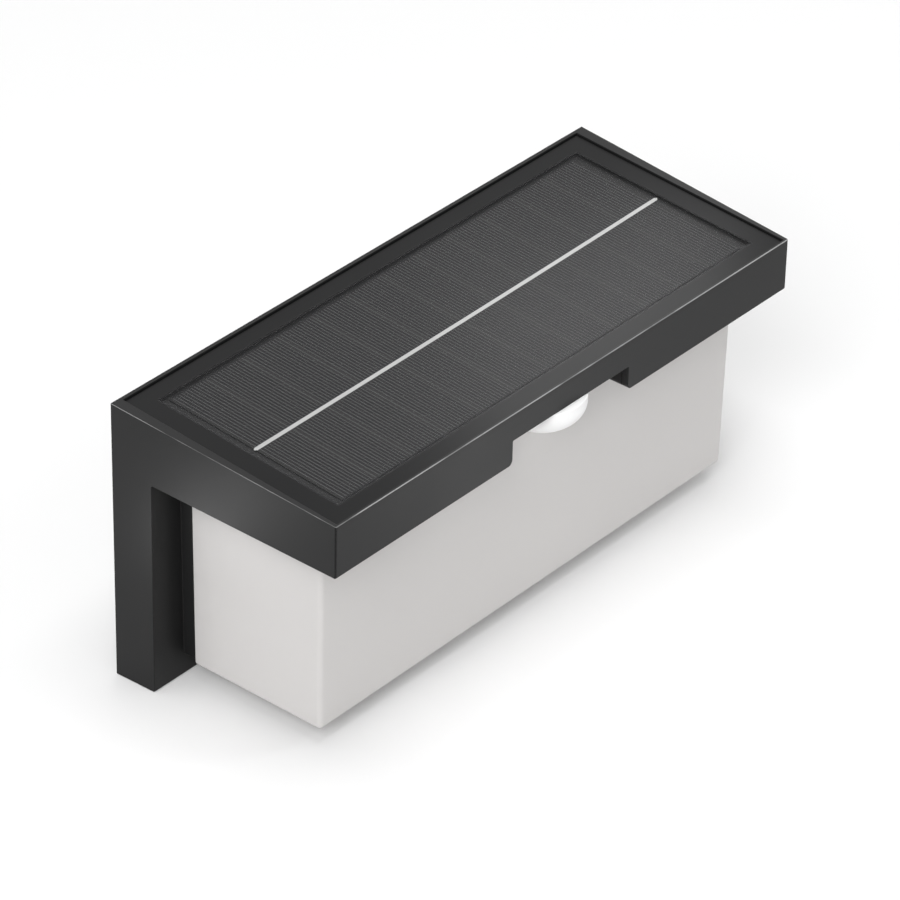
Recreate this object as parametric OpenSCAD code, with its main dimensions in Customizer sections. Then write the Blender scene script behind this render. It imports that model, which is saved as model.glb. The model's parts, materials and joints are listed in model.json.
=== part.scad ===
// Solar fence light: an inverted-L housing whose sloping canopy carries a solar panel, an opal
// box diffuser under the canopy, and a domed motion sensor lens in a notch in the canopy's lip.
// Millimetres. X runs along the light, +Y points into the wall, +Z is up. The origin is midway
// between the entry holes of the two keyholes, on the face that lies against the wall.

/* [Housing] */
// Length of the light at the wall
body_w = 200; // [180:1:240]
// Distance from the wall to the front of the lip
body_d = 78; // [74:0.5:88]
// Height of the light at the wall
back_h = 89; // [86:1:110]
// Height of the top edge above the keyholes
top_rise = 25; // [24.5:0.5:28]
// Fall of the canopy's top from the wall to the lip
top_fall = 6; // [4:0.25:7]
// How much each end draws in from the wall to the lip
side_taper = 2.5; // [0:0.1:3]
// Height of the lip's front face
lip_h = 16.5; // [16:0.25:17.5]
// How much higher the cheek's lower edge is at the column than at the lip
under_rise = 1.9; // [1:0.1:3]
// Depth of the wall column
column_d = 14; // [13.5:0.25:17]
// Wall thickness of the housing
wall = 2.2; // [1.8:0.1:2.4]
// Radius of the long outer edges
edge_r = 0.5; // [0.3:0.1:1.2]
// Radius of the upright front corners
corner_r = 0.6; // [0.4:0.1:1.6]
// Width of the notch in the lip
notch_w = 50; // [40:1:64]
// Height of the notch above the lip's lower edge
notch_h = 7.8; // [6.5:0.1:8.2]
// Radius where the notch meets the lip's lower edge
notch_r = 2; // [0.5:0.1:3]
// Width of the inner ledge that the back plate's gasket lies on
back_ledge = 2.4; // [2:0.1:3]
// Thickness of that ledge
back_ledge_t = 1.8; // [1.4:0.1:2.2]
// Radius of the screw bosses
boss_r = 3; // [2.6:0.1:3.4]

/* [Panel recess] */
// Rim between the recess and the wall
back_rim = 1.1; // [1:0.1:2]
// Rim between the recess and the lip's face
front_rim = 0.9; // [0.8:0.1:2]
// Rim beside the recess at the front, where the plan is narrowest
side_rim = 1.3; // [1:0.1:2]
// Depth of the panel's face under the rim at the wall
sink_back = 0.7; // [0.4:0.1:2.6]
// Depth of the panel's face under the rim at the lip
sink_front = 0.7; // [0.4:0.1:1]
// Width of the ledge that the panel is taped to
ledge_w = 3.4; // [3:0.1:4]
// Thickness of the deck under the panel
deck_t = 1.8; // [1.4:0.1:2]
// Width of each bridge across the deck's opening
bridge_w = 10; // [8:0.5:14]
// Distance of each bridge from the middle
bridge_x = 67; // [60:1:74]

/* [Solar panel] */
// Gap round the panel in its recess
panel_gap = 0.3; // [0.2:0.05:0.5]
// Thickness of the clear cover
cover_t = 1; // [0.8:0.1:1.2]
// Thickness of the cell strips
cell_t = 0.25; // [0.2:0.05:0.3]
// Thickness of the tab ribbon
ribbon_t = 0.15; // [0.1:0.05:0.2]
// Thickness of the panel's board
board_t = 1.2; // [1:0.1:1.4]
// Thickness of the foam tape under the panel
tape_t = 0.8; // [0.6:0.1:1]
// Number of cell strips
cell_count = 12; // [6:1:16]
// Cut between two strips
cell_cut = 0.4; // [0.3:0.1:0.8]
// Distance from each end of the recess to the strips
cell_side = 10.1; // [8:0.1:14]
// Distance from the recess's wall edge to the strips
cell_set = 7.2; // [4:0.1:10]
// Distance from the strips to the recess's lip edge
cell_front = 7.1; // [4:0.1:10]
// Width of the tab ribbon
ribbon_w = 1.6; // [1.2:0.1:2.4]
// Distance from the recess's wall edge to the middle of the ribbon
ribbon_set = 37.3; // [30:0.1:42]
// How far the ribbon stands out past the strips at each end
ribbon_over = 1.2; // [0.5:0.1:2]
// How far the middle of the ribbon lies beside the middle of the strips
ribbon_shift = 0.9; // [0:0.1:2]
// Angle at which the ribbon is soldered across the strips
ribbon_turn = 0.7; // [0:0.05:0.8]

/* [Diffuser] */
// How far each end of the diffuser's bottom stands inside the housing's end
diffuser_side = 11.5; // [10:0.1:20]
// How far the diffuser's face stands behind the lip at its bottom
diffuser_set = 13; // [12.9:0.1:15]
// Height of the diffuser's bottom above the column's foot
diffuser_lift = 5.75; // [4:0.25:10]
// How much each side of the diffuser grows from its bottom to its top
diffuser_draft = 0.7; // [0.2:0.1:1.2]
// Wall thickness of the diffuser
diffuser_t = 2.2; // [1.8:0.1:2.6]
// Radius of the diffuser's edges
diffuser_r = 1.5; // [1.2:0.1:4]
// Distance of the diffuser's rear edge from the column
plinth_d = 5.1; // [4.5:0.1:6]
// How far the plinth stands inside the diffuser's outline
plinth_inset = 1; // [0.5:0.1:1.1]
// Depth of the spigot that centres the diffuser
spigot_d = 3.8; // [3:0.1:5]
// Thickness of the diffuser's seal
seal_t = 0.8; // [0.6:0.1:1]

/* [Canopy floor] */
// Thickness of the canopy floor
floor_t = 2; // [1.6:0.1:2.2]
// Height of the floor's lower face above the cheek's lower edge at the column
floor_set = 0.4; // [0.3:0.1:0.6]
// Wall thickness of the sensor pocket
pocket_t = 2; // [1.6:0.1:2.2]

/* [Motion sensor] */
// Radius of the domed lens
lens_r = 12.7; // [12:0.1:13.2]
// Height of the dome below its widest ring
dome_h = 8.15; // [6:0.1:9]
// Height of the straight skirt above the dome
lens_skirt = 2.45; // [2:0.1:2.8]
// Distance of the lens's axis behind the lip's face
lens_set = 10.5; // [10.1:0.1:11.5]
// Thickness of the lens
lens_t = 0.9; // [0.7:0.1:1]
// Outer radius of the lens's neck
neck_r = 6.2; // [6.1:0.1:6.5]
// Radius of the sensor can
can_r = 4.6; // [4:0.1:4.7]

/* [Back plate] */
// Thickness of the back plate
plate_t = 3; // [2.6:0.1:3.2]
// Thickness of the back gasket
gasket_t = 0.8; // [0.6:0.1:1]
// Distance between the keyholes
key_pitch = 120; // [108:1:136]
// Radius of a keyhole's entry
key_r = 4.5; // [4:0.1:5]
// Radius of a keyhole's neck
key_neck_r = 2.2; // [1.8:0.1:2.4]
// Length of a keyhole's neck
key_rise = 7; // [6:0.25:8]
// Depth of the pocket behind a keyhole
key_depth = 5.5; // [4.5:0.1:6]

/* [Mode button] */
// Radius of the button
button_r = 4.2; // [3.6:0.1:4.6]
// Travel of the button
button_travel = 1; // [0.8:0.1:1]
// Depth of the finger dish round the button
dish_d = 0.8; // [0.6:0.1:1]

/* [Control board] */
// Length of the control board
control_w = 70; // [60:1:90]
// Thickness of the control board
control_t = 1.6; // [1:0.2:1.6]
// Gap above and below the control board
board_gap = 5; // [4:0.5:9]

/* [Battery] */
// Radius of the battery cell
cell_r = 9.2; // [8.8:0.1:9.3]
// Length of the battery cell
cell_len = 65; // [60:0.5:67]
// Distance of the battery's axis below the keyholes
cell_drop = 14; // [13.5:0.25:14.5]

/* [Hidden] */

$fn = 48;
// One overrun for all cuts
over = 1;
// Gap between pieces that are seated on each other
seat = 0.1;
// Gap beside a piece that drops into a hole or a frame
slip = 0.2;
// Gap round a piece that moves
run = 0.3;
// Steps in each rounded corner of an outline
arc_steps = 5;

// Levels of the housing
foot_z = top_rise - back_h;
lip_top_z = top_rise - top_fall;
lip_z = lip_top_z - lip_h;
under_z = lip_z + under_rise;
notch_z = lip_z + notch_h;
column_in = column_d - wall;

// The recess and the panel's slope
recess_w = body_w - 2*side_taper - 2*side_rim;
recess_run = body_d - back_rim - front_rim;
panel_z = top_rise - top_fall*back_rim/body_d - sink_back;
panel_fall = top_fall*recess_run/body_d - sink_back + sink_front;
panel_tilt = atan(panel_fall/recess_run);
recess_l = norm([recess_run, panel_fall]);
stack_t = cover_t + board_t + tape_t;
cell_pitch = (recess_w - 2*cell_side)/cell_count;
cell_l = recess_l - cell_set - cell_front;
pocket_under = cell_t + ribbon_t + ribbon_t/3;

// The canopy floor and the sensor pocket
floor_z = under_z + floor_set;
floor_top = floor_z + floor_t;
floor_rear = column_d + wall/2;
ceiling_top = notch_z + pocket_t;
lip_in = body_d - wall;
lens_y = body_d - lens_set;
pocket_r = lens_r + lens_t - seat;

// The diffuser
diffuser_w = body_w - 2*diffuser_side;
diffuser_z = foot_z + diffuser_lift;
diffuser_top = floor_z - seal_t - seat;
diffuser_face = body_d - diffuser_set;
diffuser_back = column_d + plinth_d;
pocket_rear = diffuser_face + diffuser_draft + run;
dome_z = notch_z - seat/2 - lens_skirt;
alcove_z = dome_z - dome_h - lens_t;
alcove_t = 1.6;

// The spigot of the plinth, and the snap hooks that hang from the canopy floor
spigot_t = 1.9;
spigot_inset = diffuser_t + slip;
hook_w = 9;
hook_t = 1.3;
hook_l = 5;
barb_d = 0.6;
barb_h = 1.8;
front_hook_shares = [-0.78, -0.38, 0.38, 0.78];
side_hook_shares = [0.3, 0.7];

// The back plate
gasket_y = plate_t + seat/2;
ledge_y = gasket_y + gasket_t + seat/2;
opening_w = body_w - 2*wall;
opening_top = panel_z - (stack_t + deck_t)/cos(panel_tilt) - wall/2;
key_x = key_pitch/2;
key_wall = 1.5;
plate_rib_h = 1.6;
plate_rib_t = 1.5;

// Screws of the housing: shank, head and lengths
shank_r = 1.3;
pilot_r = shank_r + seat;
head_r = 2.6;
head_h = 1.5;
screw_l = 8;
back_screw_x = opening_w/2 - back_ledge - boss_r*3/4;
back_screw_low = foot_z + wall + back_ledge + boss_r*3/4;
back_screw_mid = under_z - boss_r;
back_screw_top = opening_top - back_ledge - boss_r*3/4;
top_screw_x = 30;
BACK_SCREWS = [[-back_screw_x, back_screw_low], [back_screw_x, back_screw_low],
               [-back_screw_x, back_screw_mid], [back_screw_x, back_screw_mid],
               [-top_screw_x, back_screw_top], [top_screw_x, back_screw_top]];
floor_screw_rear = column_d + 2*boss_r;
floor_screw_front = diffuser_face - 2*boss_r;
FLOOR_SCREWS = [[-bridge_x, -floor_screw_rear], [bridge_x, -floor_screw_rear],
                [-bridge_x, -floor_screw_front], [bridge_x, -floor_screw_front]];

// Small screws of the boards
small_r = 0.9;
small_head_r = 1.8;
small_head_h = 1.1;
small_pilot = small_r + seat;
small_boss = 2.4;

// The battery and its bay
cell_z = -cell_drop;
cell_y = ledge_y + cell_r + 4*seat;
bay_t = 2;
bay_y = cell_y + cell_r + run;
contact_room = 5;
bay_half = cell_len/2 + contact_room;
bay_high = cell_r + 2*run;
contact_t = 0.4;
contact_w = 12;
cell_cap_h = 1.2;

// The reflector and the LED board
reflector_t = 1.2;
reflector_y = bay_y + bay_t + seat + reflector_t;
reflector_half = diffuser_w/2 - spigot_inset - spigot_t - run;
reflector_z = diffuser_z + spigot_inset + spigot_t + run;
reflector_top = under_z - edge_r - slip;
led_side = 8;
led_board_w = 2*(reflector_half - led_side);
led_board_h = 24;
led_board_t = 1.2;
led_z = (reflector_z + reflector_top)/2 - led_board_h/4;
led_columns = 10;
led_rows = 2;
led_w = 3.5;
led_high = 2.8;
led_t = 0.8;
led_edge = 12;
led_pitch = (led_board_w - 2*led_edge)/(led_columns - 1);
led_row_pitch = 11;
led_screw_share = 0.4;
led_screw_x = led_board_w*led_screw_share;
lead_hole_r = 2;
lead_hole_x = reflector_half - led_side/2;

// The control board, the switch and the button
control_h = cell_z - bay_high - foot_z - wall - 2*board_gap;
control_stand = 2;
control_y = column_in - control_stand;
control_z = foot_z + wall + board_gap + control_h/2;
control_screw_x = control_w/2 - small_boss;
switch_w = 6;
switch_y = control_y - control_t - seat/2;
flange_t = 0.8;
flange_w = 1.2;
flange_r = button_r + flange_w;
button_seal_t = 0.3;
flange_y = plate_t + button_seal_t + seat;
switch_face = flange_y + flange_t + button_travel + run;
plunger_r = 1.4;
plunger_in = 0.9;
// Length, height and thickness of the parts on the control board
controller_size = [9, 6, 1.6];
charger_size = [5, 4, 1.5];
coil_size = [6, 6, 3];
socket_size = [6, 4, 3.4];
socket_shares = [-0.36, -0.18, 0.18, 0.36];
socket_row_share = 0.38;
passive_size = [2, 1.2, 0.7];

// The sensor's board
sensor_w = 28;
sensor_d = 14.5;
sensor_t = 1;
sensor_stand = 1.2;
sensor_z = ceiling_top + sensor_stand;
sensor_front = body_d - front_rim - ledge_w - 2*slip;
sensor_mid = sensor_front - sensor_d/2;
sensor_post_x = sensor_w/2 - small_boss - seat;
sensor_post_r = small_boss*2/3;
retainer_t = 0.8;
retainer_w = 1.4;
can_h = 4.2;

// The leads inside: the sheath's radius, the sides and steps of their tubes, and a direction that
// none of them takes, from which their rings are turned
lead_r = 0.6;
lead_sides = 8;
lead_steps = 3;
LEAD_TURN = [0.4, 0.5, 0.8];
// Where the leads end, at the board's sockets, and where they pass beside the battery's bay
lead_touch = lead_r + 2*seat;
lead_y = switch_y - socket_size.z/2;
lead_end_z = control_z + socket_row_share*control_h + socket_size.y/2 + 2*seat;
lead_down_x = bay_half + bay_t + 8.5;
lead_down_y = (plate_t + key_depth + key_wall + column_in)/2;
// From the panel's board through the deck's opening, over the column's edge and down to its socket
panel_out_x = control_w/5;
panel_out_y = column_d + recess_run/4;
panel_end_x = socket_shares[2]*control_w;
PANEL_ROUTE = [[panel_out_x, -panel_out_y, board_under(-panel_out_y) - 2*seat],
               [panel_out_x, -panel_out_y, board_under(-panel_out_y) - 2*deck_t],
               [panel_out_x + 4, -column_d - recess_run/5, floor_top + 5.2],
               [panel_out_x + 14, -column_d - recess_run/10, floor_top + 4.2],
               [lead_down_x - 10, -column_d - 1, floor_top + 3.7],
               [lead_down_x - 3, -lead_down_y, floor_top + 0.8],
               [lead_down_x, -lead_down_y, floor_top - 7], [lead_down_x, -lead_down_y, cell_z + 2],
               [lead_down_x - 1, -lead_y - 1, cell_z - 7], [lead_down_x - 6, -lead_y, lead_end_z + 5.4],
               [lead_down_x - 16, -lead_y, lead_end_z + 4.8], [panel_end_x + 5.4, -lead_y, lead_end_z + 4.8],
               [panel_end_x + 0.8, -lead_y, lead_end_z + 3.8], [panel_end_x, -lead_y, lead_end_z + 2],
               [panel_end_x, -lead_y, lead_end_z]];
// From the face of the LED board, back through the hole in the column and along to its socket
led_end_x = socket_shares[3]*control_w;
led_face = led_front() + lead_touch;
LED_ROUTE = [[lead_hole_x - 8, -led_face, led_z], [lead_hole_x - 4, -led_face - seat, led_z],
             [lead_hole_x - 0.6, -led_face + 0.9, led_z], [lead_hole_x, -reflector_y + 2, led_z],
             [lead_hole_x, -column_d - 2, led_z], [lead_hole_x, -column_in, led_z],
             [lead_hole_x - 3, -lead_y - 3, led_z], [lead_hole_x - 10, -lead_y - 1, (led_z + lead_end_z)/2],
             [(lead_hole_x + led_end_x)/2, -lead_y - 0.5, lead_end_z + 1.4],
             [led_end_x + 10, -lead_y, lead_end_z + 2], [led_end_x + 5, -lead_y, lead_end_z + 2],
             [led_end_x + 1.8, -lead_y, lead_end_z + 2], [led_end_x + 0.2, -lead_y, lead_end_z + 1.4],
             [led_end_x, -lead_y, lead_end_z]];
// From the sensor's board across the canopy floor and down to its socket
sensor_end_x = socket_shares[0]*control_w;
sensor_rear = sensor_front - sensor_d;
sensor_top = sensor_z + sensor_t + lead_touch;
SENSOR_ROUTE = [[-8, -sensor_rear - sensor_d/5, sensor_top], [-8, -sensor_rear + sensor_d/5, sensor_top],
                [-10, -sensor_rear + sensor_d*3/4, sensor_z - 0.5],
                [-18, -column_d - recess_run/5, floor_top + 4.2], [-32, -column_d - 6, floor_top + 3.8],
                [6 - lead_down_x, -column_in, floor_top + 2.2],
                [1 - lead_down_x, -lead_down_y, floor_top - 3],
                [-lead_down_x, -lead_down_y, cell_z + 8], [-lead_down_x, -lead_down_y, cell_z + 2],
                [-lead_down_x, -lead_y - 1, cell_z - 6], [2 - lead_down_x, -lead_y, lead_end_z + 5],
                [8 - lead_down_x, -lead_y, lead_end_z + 2], [sensor_end_x - 6.8, -lead_y, lead_end_z + 2],
                [sensor_end_x - 1.8, -lead_y, lead_end_z + 2],
                [sensor_end_x - 0.2, -lead_y, lead_end_z + 1.4],
                [sensor_end_x, -lead_y, lead_end_z]];
// From the two contacts of the battery to its socket
battery_end_x = socket_shares[1]*control_w;
contact_x = bay_half - seat + lead_touch;
contact_y = cell_y - contact_w/2 + 1;
BATTERY_ROUTES = [[[contact_x, -contact_y, cell_z + 3], [contact_x, -contact_y + 0.2, cell_z - 1],
                   [contact_x + 0.5, -contact_y + 1, cell_z - 5], [contact_x - 2, -lead_y, cell_z - 7.6],
                   [contact_x - 10, -lead_y + 0.2, cell_z - 7.4], [10, -lead_y + 0.2, cell_z - 7.4],
                   [battery_end_x + 5.6, -lead_y + 0.2, cell_z - 7.8],
                   [battery_end_x + 1.8, -lead_y, lead_end_z + 5.5],
                   [battery_end_x + 1, -lead_y, lead_end_z + 3],
                   [battery_end_x + 1, -lead_y, lead_end_z]],
                  [[-contact_x, -contact_y, cell_z + 3], [-contact_x, -contact_y + 0.2, cell_z - 1],
                   [-contact_x - 0.5, -contact_y + 1, cell_z - 5],
                   [2 - contact_x, -lead_y - 0.2, cell_z - 9.6],
                   [9 - contact_x, -lead_y, lead_end_z + 4.8],
                   [battery_end_x - 5.4, -lead_y, lead_end_z + 4.6],
                   [battery_end_x - 1.8, -lead_y, lead_end_z + 3.6],
                   [battery_end_x - 1, -lead_y, lead_end_z + 2],
                   [battery_end_x - 1, -lead_y, lead_end_z]]];

// Half the housing's length at a place y
function half_w(y) = body_w/2 + side_taper*y/body_d;
// Height of the deck's upper face at a place y
function deck_z(y) = panel_z - stack_t/cos(panel_tilt) + (y + back_rim)*tan(panel_tilt);
// Height of the lower face of the panel's board at a place y
function board_under(y) = deck_z(y) + tape_t/cos(panel_tilt);
// How much the diffuser has grown on each side at a height z
function draft_at(z) = diffuser_draft*(z - diffuser_z)/(diffuser_top - diffuser_z);

function unit(v) = v/norm(v);
// Points of an arc of radius r that rounds the corner p between its neighbours a and b
function corner_arc(a, p, b, r) =
    r <= 0 ? [p] :
    let (u = unit(a - p), v = unit(b - p), half = acos(u*v)/2,
         c = p + unit(u + v)*r/sin(half),
         s = p + u*r/tan(half) - c,
         e = p + v*r/tan(half) - c,
         from = atan2(s.y, s.x),
         turn = atan2(e.y, e.x) - from,
         sweep = turn > 180 ? turn - 360 : turn < -180 ? turn + 360 : turn)
    [for (i = [0:arc_steps]) c + r*[cos(from + sweep*i/arc_steps), sin(from + sweep*i/arc_steps)]];
function rounded(points, radii) =
    [for (i = [0:len(points) - 1])
        each corner_arc(points[(i + len(points) - 1)%len(points)], points[i],
                        points[(i + 1)%len(points)], radii[i])];

// Draws a Y-Z outline across the light, w long and centred
module across(w) {
    rotate([90, 0, 90]) linear_extrude(w, center = true) children();
}

// Draws an X-Z outline from y = -from, t thick towards the front
module upright(from, t) {
    translate([0, -from, 0]) rotate([90, 0, 0]) linear_extrude(t) children();
}

// A round bar along Y, from y = -from, l long towards the front
module bar(x, z, r, from, l) {
    translate([x, -from, z]) rotate([90, 0, 0]) cylinder(r = r, h = l);
}

// A box from its low corner to its high corner
module block(low, high) {
    translate(low) cube(high - low);
}

// Children on both ends of the light
module both_ends() {
    children();
    mirror([1, 0, 0]) children();
}

// Places children in the panel's frame: its face is z = 0 and it runs from y = 0 towards -Y
module on_panel() {
    translate([0, -back_rim, panel_z]) rotate([panel_tilt, 0, 0]) children();
}

// Tall prism of the tapered plan, drawn in by inset
module plan_prism(inset, r) {
    back = half_w(over) - inset;
    front = half_w(inset - body_d) - inset;
    translate([0, 0, foot_z - over])
        linear_extrude(back_h + 2*over)
            polygon(rounded([[-back, over], [back, over],
                             [front, inset - body_d], [-front, inset - body_d]],
                            [0, 0, r, r]));
}

// Outer block of the housing before it is hollowed
module housing_block() {
    intersection() {
        across(body_w + 2*over)
            polygon(rounded([[0, foot_z], [-column_d, foot_z], [-column_d, under_z],
                             [-body_d, lip_z], [-body_d, lip_top_z], [0, top_rise]],
                            [0, edge_r, edge_r, edge_r, edge_r, 0]));
        plan_prism(0, corner_r);
    }
}

// Everything hollow behind and under the deck
module housing_hollow() {
    deck_drop = deck_t/cos(panel_tilt);
    intersection() {
        across(body_w)
            polygon([[-ledge_y, foot_z + wall], [-column_in, foot_z + wall],
                     [-column_in, floor_top], [-floor_rear, floor_top],
                     [-floor_rear, lip_z - over], [-lip_in, lip_z - over],
                     [-lip_in, deck_z(-lip_in) - deck_drop],
                     [-ledge_y, deck_z(-ledge_y) - deck_drop]]);
        plan_prism(wall, 0);
    }
    // Room for the back plate and its gasket
    upright(-over, over + ledge_y)
        back_outline(0);
}

// Outline of the rear opening, drawn in by inset
module back_outline(inset) {
    half = opening_w/2 - inset;
    low = foot_z + wall + inset;
    polygon([[-half, low], [half, low], [half, opening_top - inset], [-half, opening_top - inset]]);
}

module housing() {
    color([0.13, 0.13, 0.135])
    difference() {
        union() {
            difference() {
                housing_block();
                housing_hollow();
                battery_bay(0);
            }
            back_ledge_ring();
            battery_bay_shell();
            plinth();
            housing_bosses();
            deck_ribs();
        }
        on_panel() block([-recess_w/2, -recess_l, -stack_t], [recess_w/2, 0, stack_t + over]);
        deck_windows();
        lip_notch(lip_in - wall);
        for (p = BACK_SCREWS) bar(p.x, p.y, pilot_r, ledge_y - over, screw_l + over);
        for (p = FLOOR_SCREWS) translate([p.x, p.y, floor_top - over])
            cylinder(r = pilot_r, h = screw_l - floor_t + over);
        both_ends() bar(led_screw_x, led_z, small_pilot, reflector_y - reflector_t - screw_l*2/3,
                        screw_l*2/3 + over);
        both_ends() bar(control_screw_x, control_z, small_pilot, control_y - over,
                        control_stand + 2*over);
        bar(lead_hole_x, led_z, lead_hole_r, column_in - over, wall + 2*over);
    }
}

// Ring inside the rear opening that the gasket lies on
module back_ledge_ring() {
    upright(ledge_y, back_ledge_t) difference() {
        back_outline(-wall/4);
        back_outline(back_ledge);
    }
}

// Room for the battery, sunk through the column's front wall; grow adds its walls round it
module battery_bay(grow) {
    block([-bay_half - grow, -bay_y - grow, cell_z - bay_high - grow],
          [bay_half + grow, -column_in + over - min(grow, over), cell_z + bay_high + grow]);
}

module battery_bay_shell() {
    difference() {
        battery_bay(bay_t);
        battery_bay(0);
    }
    // Saddles under the battery
    both_ends() difference() {
        block([cell_len/4, -bay_y - seat, cell_z - bay_high - seat],
              [cell_len/4 + bay_t, -column_in, cell_z - cell_r/2]);
        translate([0, -cell_y, cell_z]) rotate([0, 90, 0]) cylinder(r = cell_r + run, h = cell_len);
    }
}

// Outline of the diffuser seen from the front, drawn in by inset, up to the height top
module diffuser_outline(inset, top, r) {
    low = diffuser_z + inset;
    low_half = diffuser_w/2 + draft_at(low) - inset;
    top_half = diffuser_w/2 + draft_at(top) - inset;
    polygon(rounded([[-top_half, top], [-low_half, low], [low_half, low], [top_half, top]],
                    [0, r, r, 0]));
}

// Raised frame on the column that the diffuser closes on, with a spigot that centres it
module plinth() {
    top = floor_z - seat;
    difference() {
        union() {
            upright(column_d - seat, diffuser_back - column_d - seal_t)
                diffuser_outline(plinth_inset, top, diffuser_r - plinth_inset);
            upright(column_d - seat, diffuser_back - column_d + spigot_d)
                diffuser_outline(spigot_inset, top, spigot_t/2);
        }
        upright(column_d - over, plinth_d + spigot_d + 2*over)
            diffuser_outline(spigot_inset + spigot_t, floor_z + over, 0);
    }
}

module housing_bosses() {
    for (i = [0:3]) bar(BACK_SCREWS[i].x, BACK_SCREWS[i].y, boss_r, ledge_y, column_in - ledge_y + seat);
    for (i = [4:5]) {
        bar(BACK_SCREWS[i].x, BACK_SCREWS[i].y, boss_r, ledge_y, screw_l);
        block([BACK_SCREWS[i].x - boss_r/2, -ledge_y - screw_l, BACK_SCREWS[i].y],
              [BACK_SCREWS[i].x + boss_r/2, -ledge_y, deck_z(-ledge_y - screw_l)]);
    }
    for (p = FLOOR_SCREWS) translate([p.x, p.y, floor_top + seat])
        cylinder(r = boss_r, h = deck_z(p.y) - floor_top - deck_t/2);
    both_ends() bar(led_screw_x, led_z, small_boss, column_d - seat,
                    reflector_y - reflector_t - column_d);
    both_ends() bar(control_screw_x, control_z, small_boss, control_y, column_in - control_y + seat);
}

// Stiffening ribs that join the cheeks to the deck
module deck_ribs() {
    rib_h = 3;
    for (y = [column_d + boss_r, (column_d + body_d)/2, body_d - 3*boss_r])
        both_ends() block([half_w(-y) - wall - ledge_w, -y - bay_t/2, deck_z(-y) - deck_t - rib_h],
                          [half_w(-y) - wall/2, -y + bay_t/2, deck_z(-y) - deck_t/2]);
}

// Openings in the deck under the panel: one between the bridges and one beyond each of them
module deck_windows() {
    on_panel() for (x = [[-bridge_x + bridge_w/2, bridge_x - bridge_w/2],
                         [bridge_x + bridge_w/2, recess_w/2 - ledge_w - wall],
                         [-recess_w/2 + ledge_w + wall, -bridge_x - bridge_w/2]])
        block([x[0], -recess_l + ledge_w, -stack_t - deck_t - over],
              [x[1], -4*ledge_w, -stack_t + over]);
}

// Notch in the lip, cut back as far as y = -from
module lip_notch(from) {
    half = notch_w/2;
    upright(from, body_d - from + over) polygon(rounded(
        [[-half - notch_r - over, lip_z - over], [-half - notch_r - over, lip_z], [-half, lip_z],
         [-half, notch_z], [half, notch_z], [half, lip_z],
         [half + notch_r + over, lip_z], [half + notch_r + over, lip_z - over]],
        [0, 0, notch_r, edge_r/2, edge_r/2, notch_r, 0, 0]));
}

// Foam tape between the deck's ledge and the panel's board
module panel_tape() {
    half = recess_w/2 - panel_gap;
    l = recess_l - panel_gap;
    color([0.1, 0.1, 0.1])
    on_panel() translate([0, 0, -stack_t + seat/2]) linear_extrude(tape_t - seat) difference() {
        polygon([[-half, -l], [half, -l], [half, -panel_gap], [-half, -panel_gap]]);
        polygon([[-half + ledge_w, -l + ledge_w - panel_gap], [half - ledge_w, -l + ledge_w - panel_gap],
                 [half - ledge_w, -4*ledge_w], [-half + ledge_w, -4*ledge_w]]);
    }
}

module panel_board() {
    color([0.07, 0.08, 0.09])
    on_panel() block([-recess_w/2 + panel_gap, -recess_l + panel_gap, -cover_t - board_t],
                     [recess_w/2 - panel_gap, -panel_gap, -cover_t]);
}

module cell_strips() {
    color([0.08, 0.09, 0.11])
    on_panel() for (i = [0:cell_count - 1])
        translate([(i - (cell_count - 1)/2)*cell_pitch, 0, 0])
            block([-(cell_pitch - cell_cut)/2, -cell_set - cell_l, -cover_t],
                  [(cell_pitch - cell_cut)/2, -cell_set, -cover_t + cell_t]);
}

module tab_ribbon() {
    half = cell_pitch*cell_count/2 + ribbon_over - ribbon_w/2;
    color([0.85, 0.86, 0.86])
    on_panel() translate([ribbon_shift, -ribbon_set, -cover_t + cell_t]) rotate([0, 0, ribbon_turn])
        linear_extrude(ribbon_t) {
            translate([-half, -ribbon_w/2]) square([2*half, ribbon_w]);
            for (side = [-1, 1]) translate([side*half, 0]) circle(r = ribbon_w/2);
        }
}

// Clear cover, hollowed underneath over the cells and the ribbon
module panel_cover() {
    half = cell_pitch*cell_count/2 + ribbon_over + ribbon_shift + ribbon_w/2;
    color([0.2, 0.22, 0.24, 0.35])
    on_panel() difference() {
        block([-recess_w/2 + panel_gap, -recess_l + panel_gap, -cover_t],
              [recess_w/2 - panel_gap, -panel_gap, 0]);
        block([-half, -cell_set - cell_l - ribbon_w, -cover_t - over],
              [half, -cell_set + ribbon_w, -cover_t + pocket_under]);
    }
}

// Box with rounded edges that grows by diffuser_draft towards its top; inset draws it in
module diffuser_form(inset) {
    r = max(diffuser_r - inset, diffuser_t/4);
    low_x = diffuser_w/2 - inset - r;
    low_y = -diffuser_face + inset + r;
    low_z = diffuser_z + inset + r;
    rear_y = -diffuser_back + 2*diffuser_r + r;
    hull() {
        for (side = [-1, 1]) {
            translate([side*low_x, low_y, low_z]) sphere(r = r, $fn = 32);
            translate([side*low_x, rear_y, low_z]) sphere(r = r, $fn = 32);
            translate([side*(low_x + diffuser_draft), low_y - diffuser_draft, diffuser_top])
                cylinder(r = r, h = over, $fn = 32);
            translate([side*(low_x + diffuser_draft), rear_y, diffuser_top])
                cylinder(r = r, h = over, $fn = 32);
        }
    }
}

// Everything in front of y = -from and below the height z
module room(from, z) {
    block([-body_w, -2*body_d, foot_z - over], [body_w, -from, z]);
}

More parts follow.
